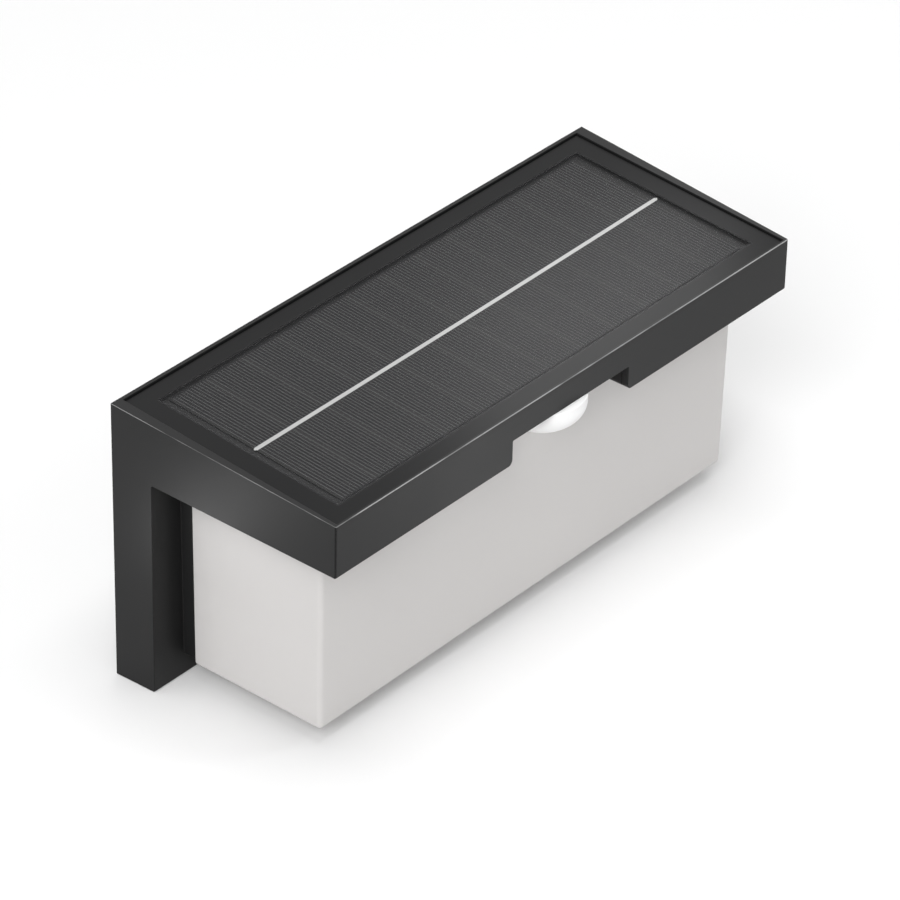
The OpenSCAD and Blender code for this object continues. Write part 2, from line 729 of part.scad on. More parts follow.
module diffuser() {
    color([0.83, 0.82, 0.82])
    difference() {
        union() {
            difference() {
                intersection() {
                    diffuser_form(0);
                    room(diffuser_back, diffuser_top);
                }
                diffuser_form(diffuser_t);
            }
            // Cup that makes room for the lens
            intersection() {
                translate([0, -lens_y, alcove_z - alcove_t])
                    cylinder(r = pocket_r + alcove_t, h = diffuser_top - alcove_z + alcove_t);
                room(diffuser_back, diffuser_top);
                translate([0, diffuser_t/2, 0]) diffuser_form(0);
            }
        }
        translate([0, -lens_y, alcove_z]) cylinder(r = pocket_r, h = back_h);
        // Blind pockets that the snap hooks' barbs spring into
        at_hooks() snap_barb(slip);
    }
}

// Profile of a snap hook's barb, which points to -Y; grow is the clearance round it
module snap_barb(grow) {
    low = -hook_l - grow;
    across(hook_w + 2*grow)
        polygon([[seat, low], [-grow, low], [-barb_d - grow, low + barb_h],
                 [-barb_d - grow, low + barb_h + seat + 2*grow], [seat, low + barb_h + seat + 2*grow]]);
}

// Places children inside the diffuser's walls: z = 0 is the canopy floor's lower face
module at_hooks() {
    y = diffuser_face + draft_at(floor_z - hook_l) - diffuser_t - slip;
    x = diffuser_w/2 + draft_at(floor_z - hook_l) - diffuser_t - slip;
    depth = diffuser_face - diffuser_back;
    for (share = front_hook_shares) translate([share*diffuser_w/2, -y, floor_z]) children();
    for (share = side_hook_shares) {
        translate([x, -diffuser_back - share*depth, floor_z]) rotate([0, 0, 90]) children();
        translate([-x, -diffuser_back - share*depth, floor_z]) rotate([0, 0, -90]) children();
    }
}

// Seal behind the diffuser's rear edge and above its top edge, in one piece
module diffuser_seal() {
    top = floor_z - seat/2;
    color([0.25, 0.25, 0.26])
    union() {
        upright(diffuser_back - seal_t, seal_t - seat/2) difference() {
            diffuser_outline(plinth_inset, top, diffuser_r - plinth_inset);
            diffuser_outline(spigot_inset - seat, top + over, 0);
        }
        translate([0, 0, diffuser_top + seat/2]) linear_extrude(seal_t - seat) difference() {
            union() {
                difference() {
                    seal_plan(plinth_inset/2);
                    seal_plan(diffuser_t - plinth_inset/2);
                }
                intersection() {
                    seal_plan(plinth_inset/2);
                    translate([0, -lens_y]) circle(r = pocket_r + alcove_t);
                }
            }
            translate([0, -lens_y]) circle(r = pocket_r);
        }
    }
}

// Plan of the diffuser's top edge, drawn in by inset and open towards the column
module seal_plan(inset) {
    half = diffuser_w/2 + diffuser_draft - inset;
    front = diffuser_face + diffuser_draft - inset;
    corner = max(diffuser_r - inset, 0);
    polygon(rounded([[-half, inset - diffuser_t/2 - diffuser_back + seal_t], [-half, -front], [half, -front],
                     [half, inset - diffuser_t/2 - diffuser_back + seal_t]],
                    [0, corner, corner, 0]));
}

// Plan of the sensor pocket: a wide mouth at the lip and a round end behind the lens
module pocket_plan(grow) {
    translate([-notch_w/2 - grow, -lip_in + slip])
        square([notch_w + 2*grow, lip_in - slip - pocket_rear + grow]);
    translate([0, -lens_y]) circle(r = pocket_r + grow);
}

module canopy_floor() {
    color([0.12, 0.12, 0.125])
    difference() {
        union() {
            intersection() {
                translate([0, 0, floor_z]) linear_extrude(floor_t)
                    translate([-body_w/2, -lip_in + slip])
                        square([body_w, lip_in - floor_rear - 2*slip]);
                plan_prism(wall + slip, 0);
            }
            // Pocket walls and the skirts that close the notch's ends
            translate([0, 0, floor_z]) linear_extrude(ceiling_top - floor_z) intersection() {
                pocket_plan(pocket_t);
                translate([-body_w/2, -lip_in + slip]) square([body_w, lip_in]);
            }
            both_ends() block([notch_w/2, -lip_in + slip, lip_z],
                              [notch_w/2 + pocket_t, -pocket_rear, floor_z + floor_t/2]);
            at_hooks() snap_hook();
            for (side = [-1, 1]) translate([side*sensor_post_x, -sensor_mid, ceiling_top - seat])
                cylinder(r = sensor_post_r, h = sensor_z - ceiling_top + seat);
            // Rib that stiffens the pan along its rear edge
            block([-bridge_x + 2*boss_r, -floor_screw_rear - floor_t/2, floor_top - seat],
                  [bridge_x - 2*boss_r, -floor_screw_rear + floor_t/2, floor_top + floor_t]);
        }
        translate([0, 0, lip_z - over]) linear_extrude(notch_z - lip_z + over) pocket_plan(0);
        lip_notch(pocket_rear);
        translate([0, -lens_y, notch_z - over]) cylinder(r = neck_r + slip, h = pocket_t + 2*over);
        for (p = FLOOR_SCREWS) translate([p.x, p.y, floor_z - over])
            cylinder(r = shank_r + slip, h = floor_t + 2*over);
        for (side = [-1, 1]) translate([side*sensor_post_x, -sensor_mid, notch_z + pocket_t/2])
            cylinder(r = small_pilot, h = back_h);
    }
}

// Springy tongue that hangs from the canopy floor, with a barb at its lower end
module snap_hook() {
    block([-hook_w/2, 0, -hook_l], [hook_w/2, hook_t, floor_t/2]);
    snap_barb(0);
}

// Pan head screw that points up from z = 0, its head below
module screw(r, l, top_r, top_h) {
    translate([0, 0, -top_h]) difference() {
        cylinder(r = top_r, h = top_h);
        for (turn = [0, 90]) rotate([0, 0, turn])
            block([-top_r*3/5, -top_r/8, -over], [top_r*3/5, top_r/8, top_h/2]);
    }
    cylinder(r = r, h = l);
}

module floor_screws() {
    color([0.6, 0.6, 0.62])
    for (p = FLOOR_SCREWS) translate([p.x, p.y, floor_z - seat])
        screw(shank_r, screw_l - seat*2, head_r, head_h);
}

// Domed lens of the motion sensor with a neck that passes up through the pocket's ceiling
module pir_lens() {
    dome_steps = 14;
    top = notch_z - seat/2;
    in_r = lens_r - lens_t;
    in_h = dome_h - lens_t;
    neck_top = ceiling_top + retainer_t + 2*seat;
    outer = [for (i = [0:dome_steps]) let (a = 90*i/dome_steps) [lens_r*sin(a), -dome_h*cos(a)]];
    inner = [for (i = [dome_steps:-1:0]) let (a = 90*i/dome_steps) [in_r*sin(a), -in_h*cos(a)]];
    color([0.97, 0.97, 0.97])
    translate([0, -lens_y, 0]) rotate_extrude() polygon(concat(
        [for (p = outer) [p.x, dome_z + p.y]],
        [[lens_r, top], [neck_r, top], [neck_r, neck_top], [neck_r - lens_t, neck_top],
         [neck_r - lens_t, top - lens_t], [in_r, top - lens_t]],
        [for (p = inner) [p.x, dome_z + p.y]]));
}

// Ring pushed over the lens's neck above the pocket's ceiling
module lens_retainer() {
    color([0.75, 0.76, 0.78])
    translate([0, -lens_y, ceiling_top + seat/2]) difference() {
        cylinder(r = neck_r + retainer_w, h = retainer_t);
        translate([0, 0, -over]) cylinder(r = neck_r + seat/2, h = retainer_t + 2*over);
    }
}

// Sensor can that hangs from its board into the lens's neck
module pir_sensor() {
    top = sensor_z - seat/2;
    color([0.7, 0.7, 0.72])
    translate([0, -lens_y, 0]) difference() {
        union() {
            translate([0, 0, top - can_h]) cylinder(r = can_r, h = can_h);
            translate([0, 0, top - flange_t]) cylinder(r = can_r + slip, h = flange_t);
        }
        block([-can_r/2, -can_r/3, top - can_h - over], [can_r/2, can_r/3, top - can_h + flange_t/2]);
    }
}

module sensor_board() {
    color([0.1, 0.35, 0.2])
    difference() {
        block([-sensor_w/2, -sensor_front, sensor_z],
              [sensor_w/2, -sensor_front + sensor_d, sensor_z + sensor_t]);
        for (side = [-1, 1]) translate([side*sensor_post_x, -sensor_mid, sensor_z - over])
            cylinder(r = small_r + slip, h = sensor_t + 2*over);
    }
}

module sensor_screws() {
    color([0.6, 0.6, 0.62])
    for (side = [-1, 1]) translate([side*sensor_post_x, -sensor_mid, sensor_z + sensor_t + seat/2])
        mirror([0, 0, 1]) screw(small_r, sensor_t + sensor_stand, small_head_r*4/5, small_head_h*4/5);
}

// Outline of one keyhole, its entry at the origin and its neck above
module keyhole(grow) {
    circle(r = key_r + grow);
    translate([-key_neck_r - grow, 0]) square([2*key_neck_r + 2*grow, key_rise]);
    translate([0, key_rise]) circle(r = key_neck_r + grow);
}

// Pocket in which the head of a wall screw travels
module key_pocket(grow) {
    half = key_r + slip + grow;
    polygon(rounded([[-half, -half], [half, -half], [half, key_rise + half], [-half, key_rise + half]],
                    [half/2, half/2, half/2, half/2]));
}

module back_plate() {
    rib_in = key_x - 3*key_r;
    rib_out = key_x + 3*key_r;
    color([0.12, 0.12, 0.125])
    difference() {
        union() {
            upright(0, plate_t) back_outline(slip);
            for (side = [-1, 1]) translate([side*key_x, 0, 0])
                upright(plate_t - seat, key_depth + key_wall) key_pocket(key_wall);
            // Ribs beside the keyhole pockets, and one that joins the inner two
            both_ends() for (x = [rib_in, rib_out])
                block([x - plate_rib_t/2, -plate_t - plate_rib_h, foot_z + wall + back_ledge + boss_r*3],
                      [x + plate_rib_t/2, -plate_t + seat, opening_top - back_ledge - run]);
            block([-rib_in, -plate_t - plate_rib_h, key_r], [rib_in, -plate_t + seat, key_r + plate_rib_t]);
            // Collar round the button
            bar(0, control_z, flange_r + 2*run + plate_rib_t, plate_t - seat, flange_t + button_travel);
        }
        for (side = [-1, 1]) translate([side*key_x, 0, 0]) {
            upright(-over, plate_t + 2*over) keyhole(0);
            upright(plate_t, key_depth) key_pocket(0);
        }
        bar(0, control_z, flange_r + 2*run, plate_t, flange_t + button_travel + over);
        bar(0, control_z, button_r + run, -over, plate_t + 2*over);
        translate([0, over, control_z]) rotate([90, 0, 0])
            cylinder(r1 = button_r*2, r2 = button_r + run + dish_d, h = dish_d + over);
        for (p = BACK_SCREWS) {
            bar(p.x, p.y, shank_r + slip, -over, plate_t + 2*over);
            bar(p.x, p.y, head_r + slip, -over, head_h + slip + over);
        }
    }
}

// Silicone ring between the back plate and the housing's inner ledge
module back_gasket() {
    color([0.3, 0.3, 0.31])
    upright(gasket_y, gasket_t) difference() {
        back_outline(2*slip);
        back_outline(back_ledge - 2*slip);
    }
}

module back_screws() {
    color([0.6, 0.6, 0.62])
    for (p = BACK_SCREWS) translate([p.x, -head_h - seat, p.y]) rotate([90, 0, 0])
        screw(shank_r, screw_l, head_r, head_h);
}

// White tray in front of the column and the battery bay
module reflector() {
    color([0.95, 0.95, 0.94])
    difference() {
        block([-reflector_half, -reflector_y, reflector_z],
              [reflector_half, -column_d - slip, reflector_top]);
        block([-reflector_half + reflector_t, -reflector_y + reflector_t, reflector_z + reflector_t],
              [reflector_half - reflector_t, -column_d + over, reflector_top + over]);
        both_ends() bar(led_screw_x, led_z, small_r + slip, reflector_y - 2*reflector_t, 3*reflector_t);
        bar(lead_hole_x, led_z, lead_hole_r, reflector_y - 2*reflector_t, 3*reflector_t);
    }
}

module led_board() {
    color([0.9, 0.9, 0.88])
    difference() {
        block([-led_board_w/2, -led_front(), led_z - led_board_h/2],
              [led_board_w/2, -reflector_y - seat/2, led_z + led_board_h/2]);
        both_ends() bar(led_screw_x, led_z, small_r + slip, reflector_y - over, led_board_t + 2*over);
    }
}

function led_front() = reflector_y + seat/2 + led_board_t;

module leds() {
    color([0.95, 0.85, 0.35])
    for (i = [0:led_columns - 1], j = [0:led_rows - 1])
        translate([(i - (led_columns - 1)/2)*led_pitch, -led_front(),
                   led_z + (j - (led_rows - 1)/2)*led_row_pitch])
            difference() {
                block([-led_w/2, -led_t, -led_high/2], [led_w/2, 0, led_high/2]);
                bar(0, 0, led_high*2/5, led_t*3/4, over);
            }
}

module led_screws() {
    color([0.6, 0.6, 0.62])
    both_ends() translate([led_screw_x, -led_front() - seat/2, led_z]) rotate([-90, 0, 0])
        screw(small_r, screw_l*3/4, small_head_r, small_head_h);
}

module battery_cell() {
    color([0.2, 0.45, 0.75])
    translate([-cell_len/2, -cell_y, cell_z]) rotate([0, 90, 0]) union() {
        cylinder(r = cell_r, h = cell_len - cell_cap_h);
        cylinder(r = cell_r/3, h = cell_len);
    }
}

// Contact at each end of the battery: a flat plate with a springy folded strip on it
module battery_contacts() {
    reach = contact_room - 2*seat;
    fold = contact_w/4;
    color([0.78, 0.78, 0.75])
    both_ends() translate([bay_half - seat, -cell_y, cell_z - contact_w/2])
        linear_extrude(contact_w) difference() {
            polygon([[0, -contact_w/2], [0, contact_w/2], [-contact_t, contact_w/2], [-contact_t, fold],
                     [-reach, contact_t], [-reach, -contact_t], [-contact_t, -fold],
                     [-contact_t, -contact_w/2]]);
            polygon([[-contact_t, fold - 2*contact_t], [contact_t - reach, 0],
                     [-contact_t, 2*contact_t - fold]]);
        }
}

// Foam pad between the back plate and the battery
module battery_pad() {
    color([0.15, 0.15, 0.15])
    block([-cell_len/3, seat - (cell_y - cell_r), cell_z - cell_r/4],
          [cell_len/3, -plate_t - seat, cell_z + cell_r/4]);
}

module control_board() {
    color([0.1, 0.35, 0.2])
    difference() {
        block([-control_w/2, -control_y, control_z - control_h/2],
              [control_w/2, -control_y + control_t, control_z + control_h/2]);
        both_ends() bar(control_screw_x, control_z, small_r + slip, control_y - control_t - over,
                        control_t + 2*over);
    }
}

// A part on the control board's rear face, its centre at shares of the board's size
module on_board(place, size) {
    x = place[0]*control_w;
    z = control_z + place[1]*control_h;
    block([x - size[0]/2, -switch_y, z - size[1]/2], [x + size[0]/2, -switch_y + size[2], z + size[1]/2]);
}

// Chips, storage coil, sockets for the leads of the panel, battery, LEDs and sensor, small parts
module board_parts() {
    color([0.06, 0.06, 0.06])
    union() {
        on_board([-0.25, 0.05], controller_size);
        on_board([0.25, 0.05], charger_size);
        on_board([0.25, -0.25], coil_size);
        for (share = socket_shares) on_board([share, socket_row_share], socket_size);
        for (i = [0:4], j = [0:1]) on_board([-0.38 + 0.05*i, -0.2 - 0.12*j], passive_size);
    }
}

module board_screws() {
    color([0.6, 0.6, 0.62])
    both_ends() translate([control_screw_x, -switch_y, control_z]) rotate([90, 0, 0])
        screw(small_r, control_t + control_stand, small_head_r, small_head_h);
}

// Push switch on the control board, with a bore for its plunger
module mode_switch() {
    color([0.2, 0.2, 0.21])
    difference() {
        block([-switch_w/2, -switch_y, control_z - switch_w/2],
              [switch_w/2, -switch_face, control_z + switch_w/2]);
        bar(0, control_z, plunger_r + run, switch_face - over, plunger_in + button_travel + run + over);
    }
}

// Thin silicone ring that closes the gap round the button
module button_seal() {
    color([0.3, 0.3, 0.31])
    translate([0, -plate_t - seat/2, control_z]) rotate([90, 0, 0]) difference() {
        cylinder(r = flange_r + run, h = button_seal_t - seat);
        translate([0, 0, -over]) cylinder(r = button_r + run, h = button_seal_t + 2*over);
    }
}

module mode_button() {
    color([0.75, 0.75, 0.76])
    difference() {
        union() {
            bar(0, control_z, button_r, dish_d, flange_y - dish_d + flange_t);
            bar(0, control_z, flange_r, flange_y + seat, flange_t - seat);
        }
        bar(0, control_z, button_r*3/5, dish_d - over, over + dish_d/2);
    }
}

// Stem of the switch that the button pushes
module switch_plunger() {
    from = flange_y + flange_t + seat/2;
    color([0.9, 0.9, 0.9])
    bar(0, control_z, plunger_r, from, switch_face + plunger_in - from);
}

// Point at share t of the stretch from b to c of a smooth curve through a, b, c and d
function curve_point(a, b, c, d, t) =
    (2*b + (c - a)*t + (2*a - 5*b + 4*c - d)*t*t + (3*b - a - 3*c + d)*t*t*t)/2;
function smooth_route(route) =
    let (last = len(route) - 1)
    [for (i = [0:last - 1], s = [0:lead_steps - 1])
         curve_point(route[max(i - 1, 0)], route[i], route[i + 1], route[min(i + 2, last)], s/lead_steps),
     route[last]];

// Tube swept along a route, with flat ends
module lead(route) {
    path = smooth_route(route);
    last = len(path) - 1;
    points = [for (i = [0:last])
                  let (ahead = unit(path[min(i + 1, last)] - path[max(i - 1, 0)]),
                       u = unit(cross(ahead, LEAD_TURN)), v = cross(ahead, u))
                  for (k = [0:lead_sides - 1]) let (a = 360*k/lead_sides)
                      path[i] + lead_r*(cos(a)*u + sin(a)*v)];
    faces = concat(
        [[for (k = [0:lead_sides - 1]) k]],
        [for (i = [0:last - 1], k = [0:lead_sides - 1])
             let (here = i*lead_sides + k, next = i*lead_sides + (k + 1)%lead_sides)
             each [[here, here + lead_sides, next], [next, here + lead_sides, next + lead_sides]]],
        [[for (k = [lead_sides - 1:-1:0]) last*lead_sides + k]]);
    polyhedron(points, faces);
}

module panel_lead() {
    color([0.1, 0.1, 0.1]) lead(PANEL_ROUTE);
}

module led_lead() {
    color([0.9, 0.9, 0.88]) lead(LED_ROUTE);
}

module sensor_lead() {
    color([0.3, 0.3, 0.32]) lead(SENSOR_ROUTE);
}

module battery_leads() {
    color([0.6, 0.1, 0.1])
    for (route = BATTERY_ROUTES) lead(route);
}

housing();
panel_tape();
panel_board();
cell_strips();
tab_ribbon();
panel_cover();
diffuser();
diffuser_seal();
canopy_floor();
floor_screws();
pir_lens();
lens_retainer();
pir_sensor();
sensor_board();
sensor_screws();
back_plate();
back_gasket();
back_screws();
reflector();
led_board();
leds();
led_screws();
battery_cell();
battery_contacts();
battery_pad();
control_board();
board_parts();
board_screws();
mode_switch();
button_seal();
mode_button();
switch_plunger();
panel_lead();
led_lead();
sensor_lead();
battery_leads();
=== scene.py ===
import json
import math

import bmesh
import bpy
from mathutils import Matrix, Vector

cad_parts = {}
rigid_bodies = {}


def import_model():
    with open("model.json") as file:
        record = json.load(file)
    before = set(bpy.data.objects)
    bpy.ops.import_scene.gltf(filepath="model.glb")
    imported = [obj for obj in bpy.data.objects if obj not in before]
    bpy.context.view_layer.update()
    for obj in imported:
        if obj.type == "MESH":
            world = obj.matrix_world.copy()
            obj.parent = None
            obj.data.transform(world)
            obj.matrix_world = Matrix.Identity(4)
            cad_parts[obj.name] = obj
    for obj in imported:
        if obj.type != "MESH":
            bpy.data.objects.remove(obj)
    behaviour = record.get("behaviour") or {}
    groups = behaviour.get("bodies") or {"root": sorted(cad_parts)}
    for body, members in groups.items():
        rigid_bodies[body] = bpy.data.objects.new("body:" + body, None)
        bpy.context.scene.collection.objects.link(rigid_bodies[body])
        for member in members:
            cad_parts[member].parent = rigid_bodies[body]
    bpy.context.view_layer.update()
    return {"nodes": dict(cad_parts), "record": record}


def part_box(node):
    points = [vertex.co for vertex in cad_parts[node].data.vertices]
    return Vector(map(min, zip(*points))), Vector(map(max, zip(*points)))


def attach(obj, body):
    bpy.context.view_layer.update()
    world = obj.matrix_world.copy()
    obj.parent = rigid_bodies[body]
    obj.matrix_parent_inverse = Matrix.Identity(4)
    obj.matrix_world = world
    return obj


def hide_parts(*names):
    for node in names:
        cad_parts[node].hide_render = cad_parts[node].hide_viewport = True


for leftOver in list(bpy.data.objects):
    bpy.data.objects.remove(leftOver)
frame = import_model()
nodes = frame["nodes"]
mm = 0.001
print("frame loaded:", len(nodes), "nodes")

# Points nearer than "weld" or "spun" count as one, edges shorter than "sliver" are taken out, corners within
# "side" of an outer side lie on it, and faces that meet within the angle "flat" are one face
tolerance = {
    "weld": 0.003*mm,
    "spun": 0.0005*mm,
    "sliver": 0.0002*mm,
    "side": 0.1*mm,
    "flat": math.radians(0.5),
}


# Camera at the place that the photo was taken from
view = {
    "place": (-0.904747, -0.782044, 0.751447),
    "turn": (56.5398, -1.0403, -49.7770),
    "lens": 200.016,
    "far": 50,
}
cameraData = bpy.data.cameras.new("viewCamera")
cameraData.lens = view["lens"]
cameraData.clip_end = view["far"]
camera = bpy.data.objects.new("viewCamera", cameraData)
camera.location = view["place"]
camera.rotation_euler = [math.radians(angle) for angle in view["turn"]]
bpy.context.scene.collection.objects.link(camera)
bpy.context.scene.camera = camera
bpy.context.scene.view_settings.view_transform = "Standard"
print("camera ready")


# A socket that can be used in sums
class Wire:
    def __init__(self, recipe, socket):
        self.recipe = recipe
        self.socket = socket

    def __add__(self, other):
        return self.recipe.maths("ADD", self, other)

    def __sub__(self, other):
        return self.recipe.maths("SUBTRACT", self, other)

    def __rsub__(self, other):
        return self.recipe.maths("SUBTRACT", other, self)

    def __mul__(self, other):
        return self.recipe.maths("MULTIPLY", self, other)

    def __truediv__(self, other):
        return self.recipe.maths("DIVIDE", self, other)

    def __gt__(self, other):
        return self.recipe.maths("GREATER_THAN", self, other)

    def __lt__(self, other):
        return self.recipe.maths("LESS_THAN", self, other)


# A node tree that is filled one node at a time
class Recipe:
    def __init__(self, tree):
        self.tree = tree

    def add(self, kind, settings=None, values=None, output=0):
        made = self.tree.nodes.new(kind)
        for name, value in (settings or {}).items():
            setattr(made, name, value)
        for name, value in (values or {}).items():
            if isinstance(value, Wire):
                self.tree.links.new(value.socket, made.inputs[name])
            else:
                made.inputs[name].default_value = value
        return Wire(self, made.outputs[output]) if made.outputs else made

    def maths(self, operation, first, second=None):
        values = {0: first} if second is None else {0: first, 1: second}
        return self.add("ShaderNodeMath", {"operation": operation}, values)

    def highest(self, first, *others):
        for other in others:
            first = self.maths("MAXIMUM", first, other)
        return first


# A material whose patterns lie on the piece's own coordinates
class Finish(Recipe):
    def __init__(self, name):
        self.material = bpy.data.materials.new(name)
        self.material.use_nodes = True
        self.material.node_tree.nodes.clear()
        super().__init__(self.material.node_tree)
        self.place = self.add("ShaderNodeTexCoord", output=3)

    def stretched(self, factors):
        return self.add("ShaderNodeMapping", None, {"Vector": self.place, "Scale": factors})

    def cloud(self, scale, detail, place=None):
        return self.add("ShaderNodeTexNoise", None,
                        {"Vector": place or self.place, "Scale": scale, "Detail": detail, "Roughness": 0.5})

    def cells(self, scale, settings=None):
        return self.add("ShaderNodeTexVoronoi", settings, {"Vector": self.place, "Scale": scale})

    def between(self, factor, first, second):
        tones = [(*tone, 1) if isinstance(tone, tuple) else tone for tone in (first, second)]
        values = {0: factor, 6: tones[0], 7: tones[1]}
        return self.add("ShaderNodeMix", {"data_type": "RGBA"}, values, output=2)

    def ramp(self, factor, low, high):
        return self.add("ShaderNodeMapRange", {"interpolation_type": "SMOOTHSTEP"},
                        {"Value": factor, "From Min": low, "From Max": high})

    def bump(self, height, depth, strength=1.0):
        return self.add("ShaderNodeBump", None, {"Height": height, "Distance": depth, "Strength": strength})

    def vector(self, operation, first, second=None, output=0):
        values = {0: first} if second is None else {0: first, 1: second}
        return self.add("ShaderNodeVectorMath", {"operation": operation}, values, output)

    def parts(self, vector):
        sockets = self.add("ShaderNodeSeparateXYZ", None, {"Vector": vector}).socket.node.outputs
        return [Wire(self, sockets[index]) for index in range(3)]

    def axes(self):
        return self.parts(self.place)

    # How far a point lies from an axis, from its distances along the two directions across it
    def radius(self, first, second):
        return self.maths("SQRT", first*first + second*second)

    # A value brought into the one pitch that has zero at its middle
    def folded(self, value, pitch):
        return self.add("ShaderNodeMath", {"operation": "WRAP"}, {0: value, 1: pitch/2, 2: -pitch/2})

    # Distance to where the nearest strip begins, beside a cut between two strips
    def toCut(self):
        return self.maths("ABSOLUTE", self.folded(self.axes()[0] - cellLow.x, stripPitch))

    # How far a point lies inside a box's outline, seen from above
    def within(self, low, high):
        across, along, _ = self.axes()
        ends = self.maths("MINIMUM", across - low.x, high.x - across)
        return self.maths("MINIMUM", ends, self.maths("MINIMUM", along - low.y, high.y - along))

    # Two masks of the rounded edges: those that look up and away from the middle, for a painted highlight,
    # and all others, for painted shade
    def edges(self, paintedEdgeLight):
        normal = self.add("ShaderNodeTexCoord", output=1)
        bend = self.ramp(1 - self.highest(*self.parts(self.vector("ABSOLUTE", normal))), *paintedEdgeLight["bend"])
        level = self.vector("MULTIPLY", normal, (1, 1, 0))
        reach = self.vector("SUBTRACT", self.place, paintedEdgeLight["middle"])
        outward = self.vector("DOT_PRODUCT", level, reach, output=1) > 0
        raised = self.ramp(self.parts(normal)[2], *paintedEdgeLight["rise"])*outward
        return bend*raised, bend*(1 - raised)

    # Ends the material in one shader; an underscore in a name stands for a space
    def finish(self, **values):
        inputs = {key.replace("_", " "): value for key, value in values.items()}
        shader = self.add("ShaderNodeBsdfPrincipled", None, inputs)
        self.add("ShaderNodeOutputMaterial", None, {"Surface": shader})
        return self.material


def shaded(tone, factor):
    return tuple(part*factor for part in tone)


# Moulded plastic with a fine spark-eroded grain; tone and gloss drift a little over the part
def mouldedPlastic(name, tone, gloss, grain=2400, drift=0.12, level=0.5, paintedEdgeLight=None):
    made = Finish(name)
    patch = made.cloud(scale=38, detail=3.0)
    fine = made.cloud(scale=grain, detail=2.0)
    colour = made.between(patch, shaded(tone, 1 - drift), shaded(tone, 1 + drift))
    rough = patch*0.1 + (fine*0.08 + (gloss - 0.09))
    if paintedEdgeLight:
        wearAndHighlight, paintedEdgeShade = made.edges(paintedEdgeLight)
        wearAndHighlight = wearAndHighlight*made.ramp(made.cloud(scale=paintedEdgeLight["scale"], detail=3.0), *paintedEdgeLight["patches"])
        # Painted shade: the other rounded edges darkened to a share of the plastic's tone
        colour = made.between(paintedEdgeShade, colour, shaded(tone, paintedEdgeLight["shadeShare"]))
        # Painted highlight: a lighter tone on the rounded edges that look up, in patches like wear
        colour = made.between(wearAndHighlight, colour, paintedEdgeLight["tone"])
        rough = rough - wearAndHighlight*paintedEdgeLight["polish"]
    return made.finish(Base_Color=colour, Roughness=rough, Specular_IOR_Level=level,
                       Normal=made.bump(fine, depth=0.012*mm, strength=0.6))


def rubberFinish(name, tone):
    made = Finish(name)
    patch = made.cloud(scale=60, detail=3.0)
    fine = made.cloud(scale=3200, detail=3.0)
    colour = made.between(patch, shaded(tone, 0.85), shaded(tone, 1.15))
    return made.finish(Base_Color=colour, Roughness=fine*0.15 + 0.62,
                       Normal=made.bump(fine, depth=0.01*mm, strength=0.5))


def foamFinish(name, tone):
    made = Finish(name)
    bubbles = made.cells(scale=2600)
    colour = made.between(bubbles, shaded(tone, 1.5), shaded(tone, 0.5))
    return made.finish(Base_Color=colour, Roughness=0.95, Normal=made.bump(bubbles, depth=0.06*mm))


# Metal with fine marks; a stretch factor below 1 draws them out along its axis
def rolledMetal(name, tone, gloss, stretch, metallic=1.0):
    made = Finish(name)
    marks = made.cloud(scale=900, detail=4.0, place=made.stretched(stretch))
    patch = made.cloud(scale=90, detail=2.0)
    rough = marks*0.14 + (patch*0.08 + (gloss - 0.1))
    return made.finish(Base_Color=made.between(marks, shaded(tone, 0.88), tone), Metallic=metallic,
                       Roughness=rough, Normal=made.bump(marks, depth=0.003*mm, strength=0.5))


# Lacquered board with the faint relief of its tracks
def boardFinish(name, tone, trackTone, scale=420):
    made = Finish(name)
    blocks = made.cells(scale, {"distance": "MANHATTAN", "feature": "F1"})
    track = made.ramp(blocks, low=0.42, high=0.5)
    weave = made.cloud(scale=1500, detail=2.0)
    return made.finish(Base_Color=made.between(track, tone, trackTone), Roughness=weave*0.12 + 0.22,
                       Normal=made.bump(track, depth=0.02*mm, strength=0.5))


cellLow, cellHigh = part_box("cell_strips")
strips = {"count": 12, "cut": 0.4*mm}
stripPitch = (cellHigh.x - cellLow.x + strips["cut"])/strips["count"]

# The solar panel: how far the clear window reaches past the cells, and the tones and widths of its patterns.
# A pair of tones is what a material drifts between
panel = {
    "windowX": 3.6*mm,
    "windowY": 1.8*mm,
    "softBorder": 1.4*mm,
    "clearness": 0.93,
    "border": ((0.009, 0.009, 0.0093), (0.013, 0.013, 0.0133)),
    "window": (0.06, 0.06, 0.062),
    "lacquer": ((0.016, 0.016, 0.0163), (0.021, 0.021, 0.0213)),
    "wafer": ((0.008, 0.008, 0.009), (0.014, 0.014, 0.015)),
    "paste": ((0.085, 0.085, 0.085), (0.125, 0.125, 0.125)),
    "track": (0.08, 0.08, 0.0805),
    "band": (0.0185, 0.0185, 0.019),
    "bandWidth": (1.5*mm, 1.2*mm),
    "bridge": (0.044, 0.044, 0.0445),
    "bridgeReach": 0.3*mm,
}


# Clear cover sheet, printed black behind its border
def coverFinish():
    made = Finish("panelCover")
    margin = Vector((panel["windowX"], panel["windowY"], 0))
    patch = made.cloud(scale=30, detail=2.0)
    fine = made.cloud(scale=700, detail=2.0)
    clear = made.ramp(made.within(cellLow - margin, cellHigh + margin), low=0.0, high=panel["softBorder"])
    border = made.between(patch, *panel["border"])
    return made.finish(Base_Color=made.between(clear, border, panel["window"]),
                       Roughness=patch*0.08 + (fine*0.04 + 0.26), Alpha=1 - clear*panel["clearness"],
                       Specular_IOR_Level=0.1)


# Board under the cells: black lacquer, with the paler metal of its tracks in the cuts between the strips
def panelBoardFinish():
    made = Finish("panelBoard")
    patch = made.cloud(scale=24, detail=2.0)
    weave = made.cloud(scale=1800, detail=2.0)
    underCells = made.within(cellLow, cellHigh) > 0
    lacquer = made.between(patch, *panel["lacquer"])
    return made.finish(Base_Color=made.between(underCells, lacquer, panel["track"]),
                       Roughness=weave*0.1 + 0.4, Specular_IOR_Level=0.2)


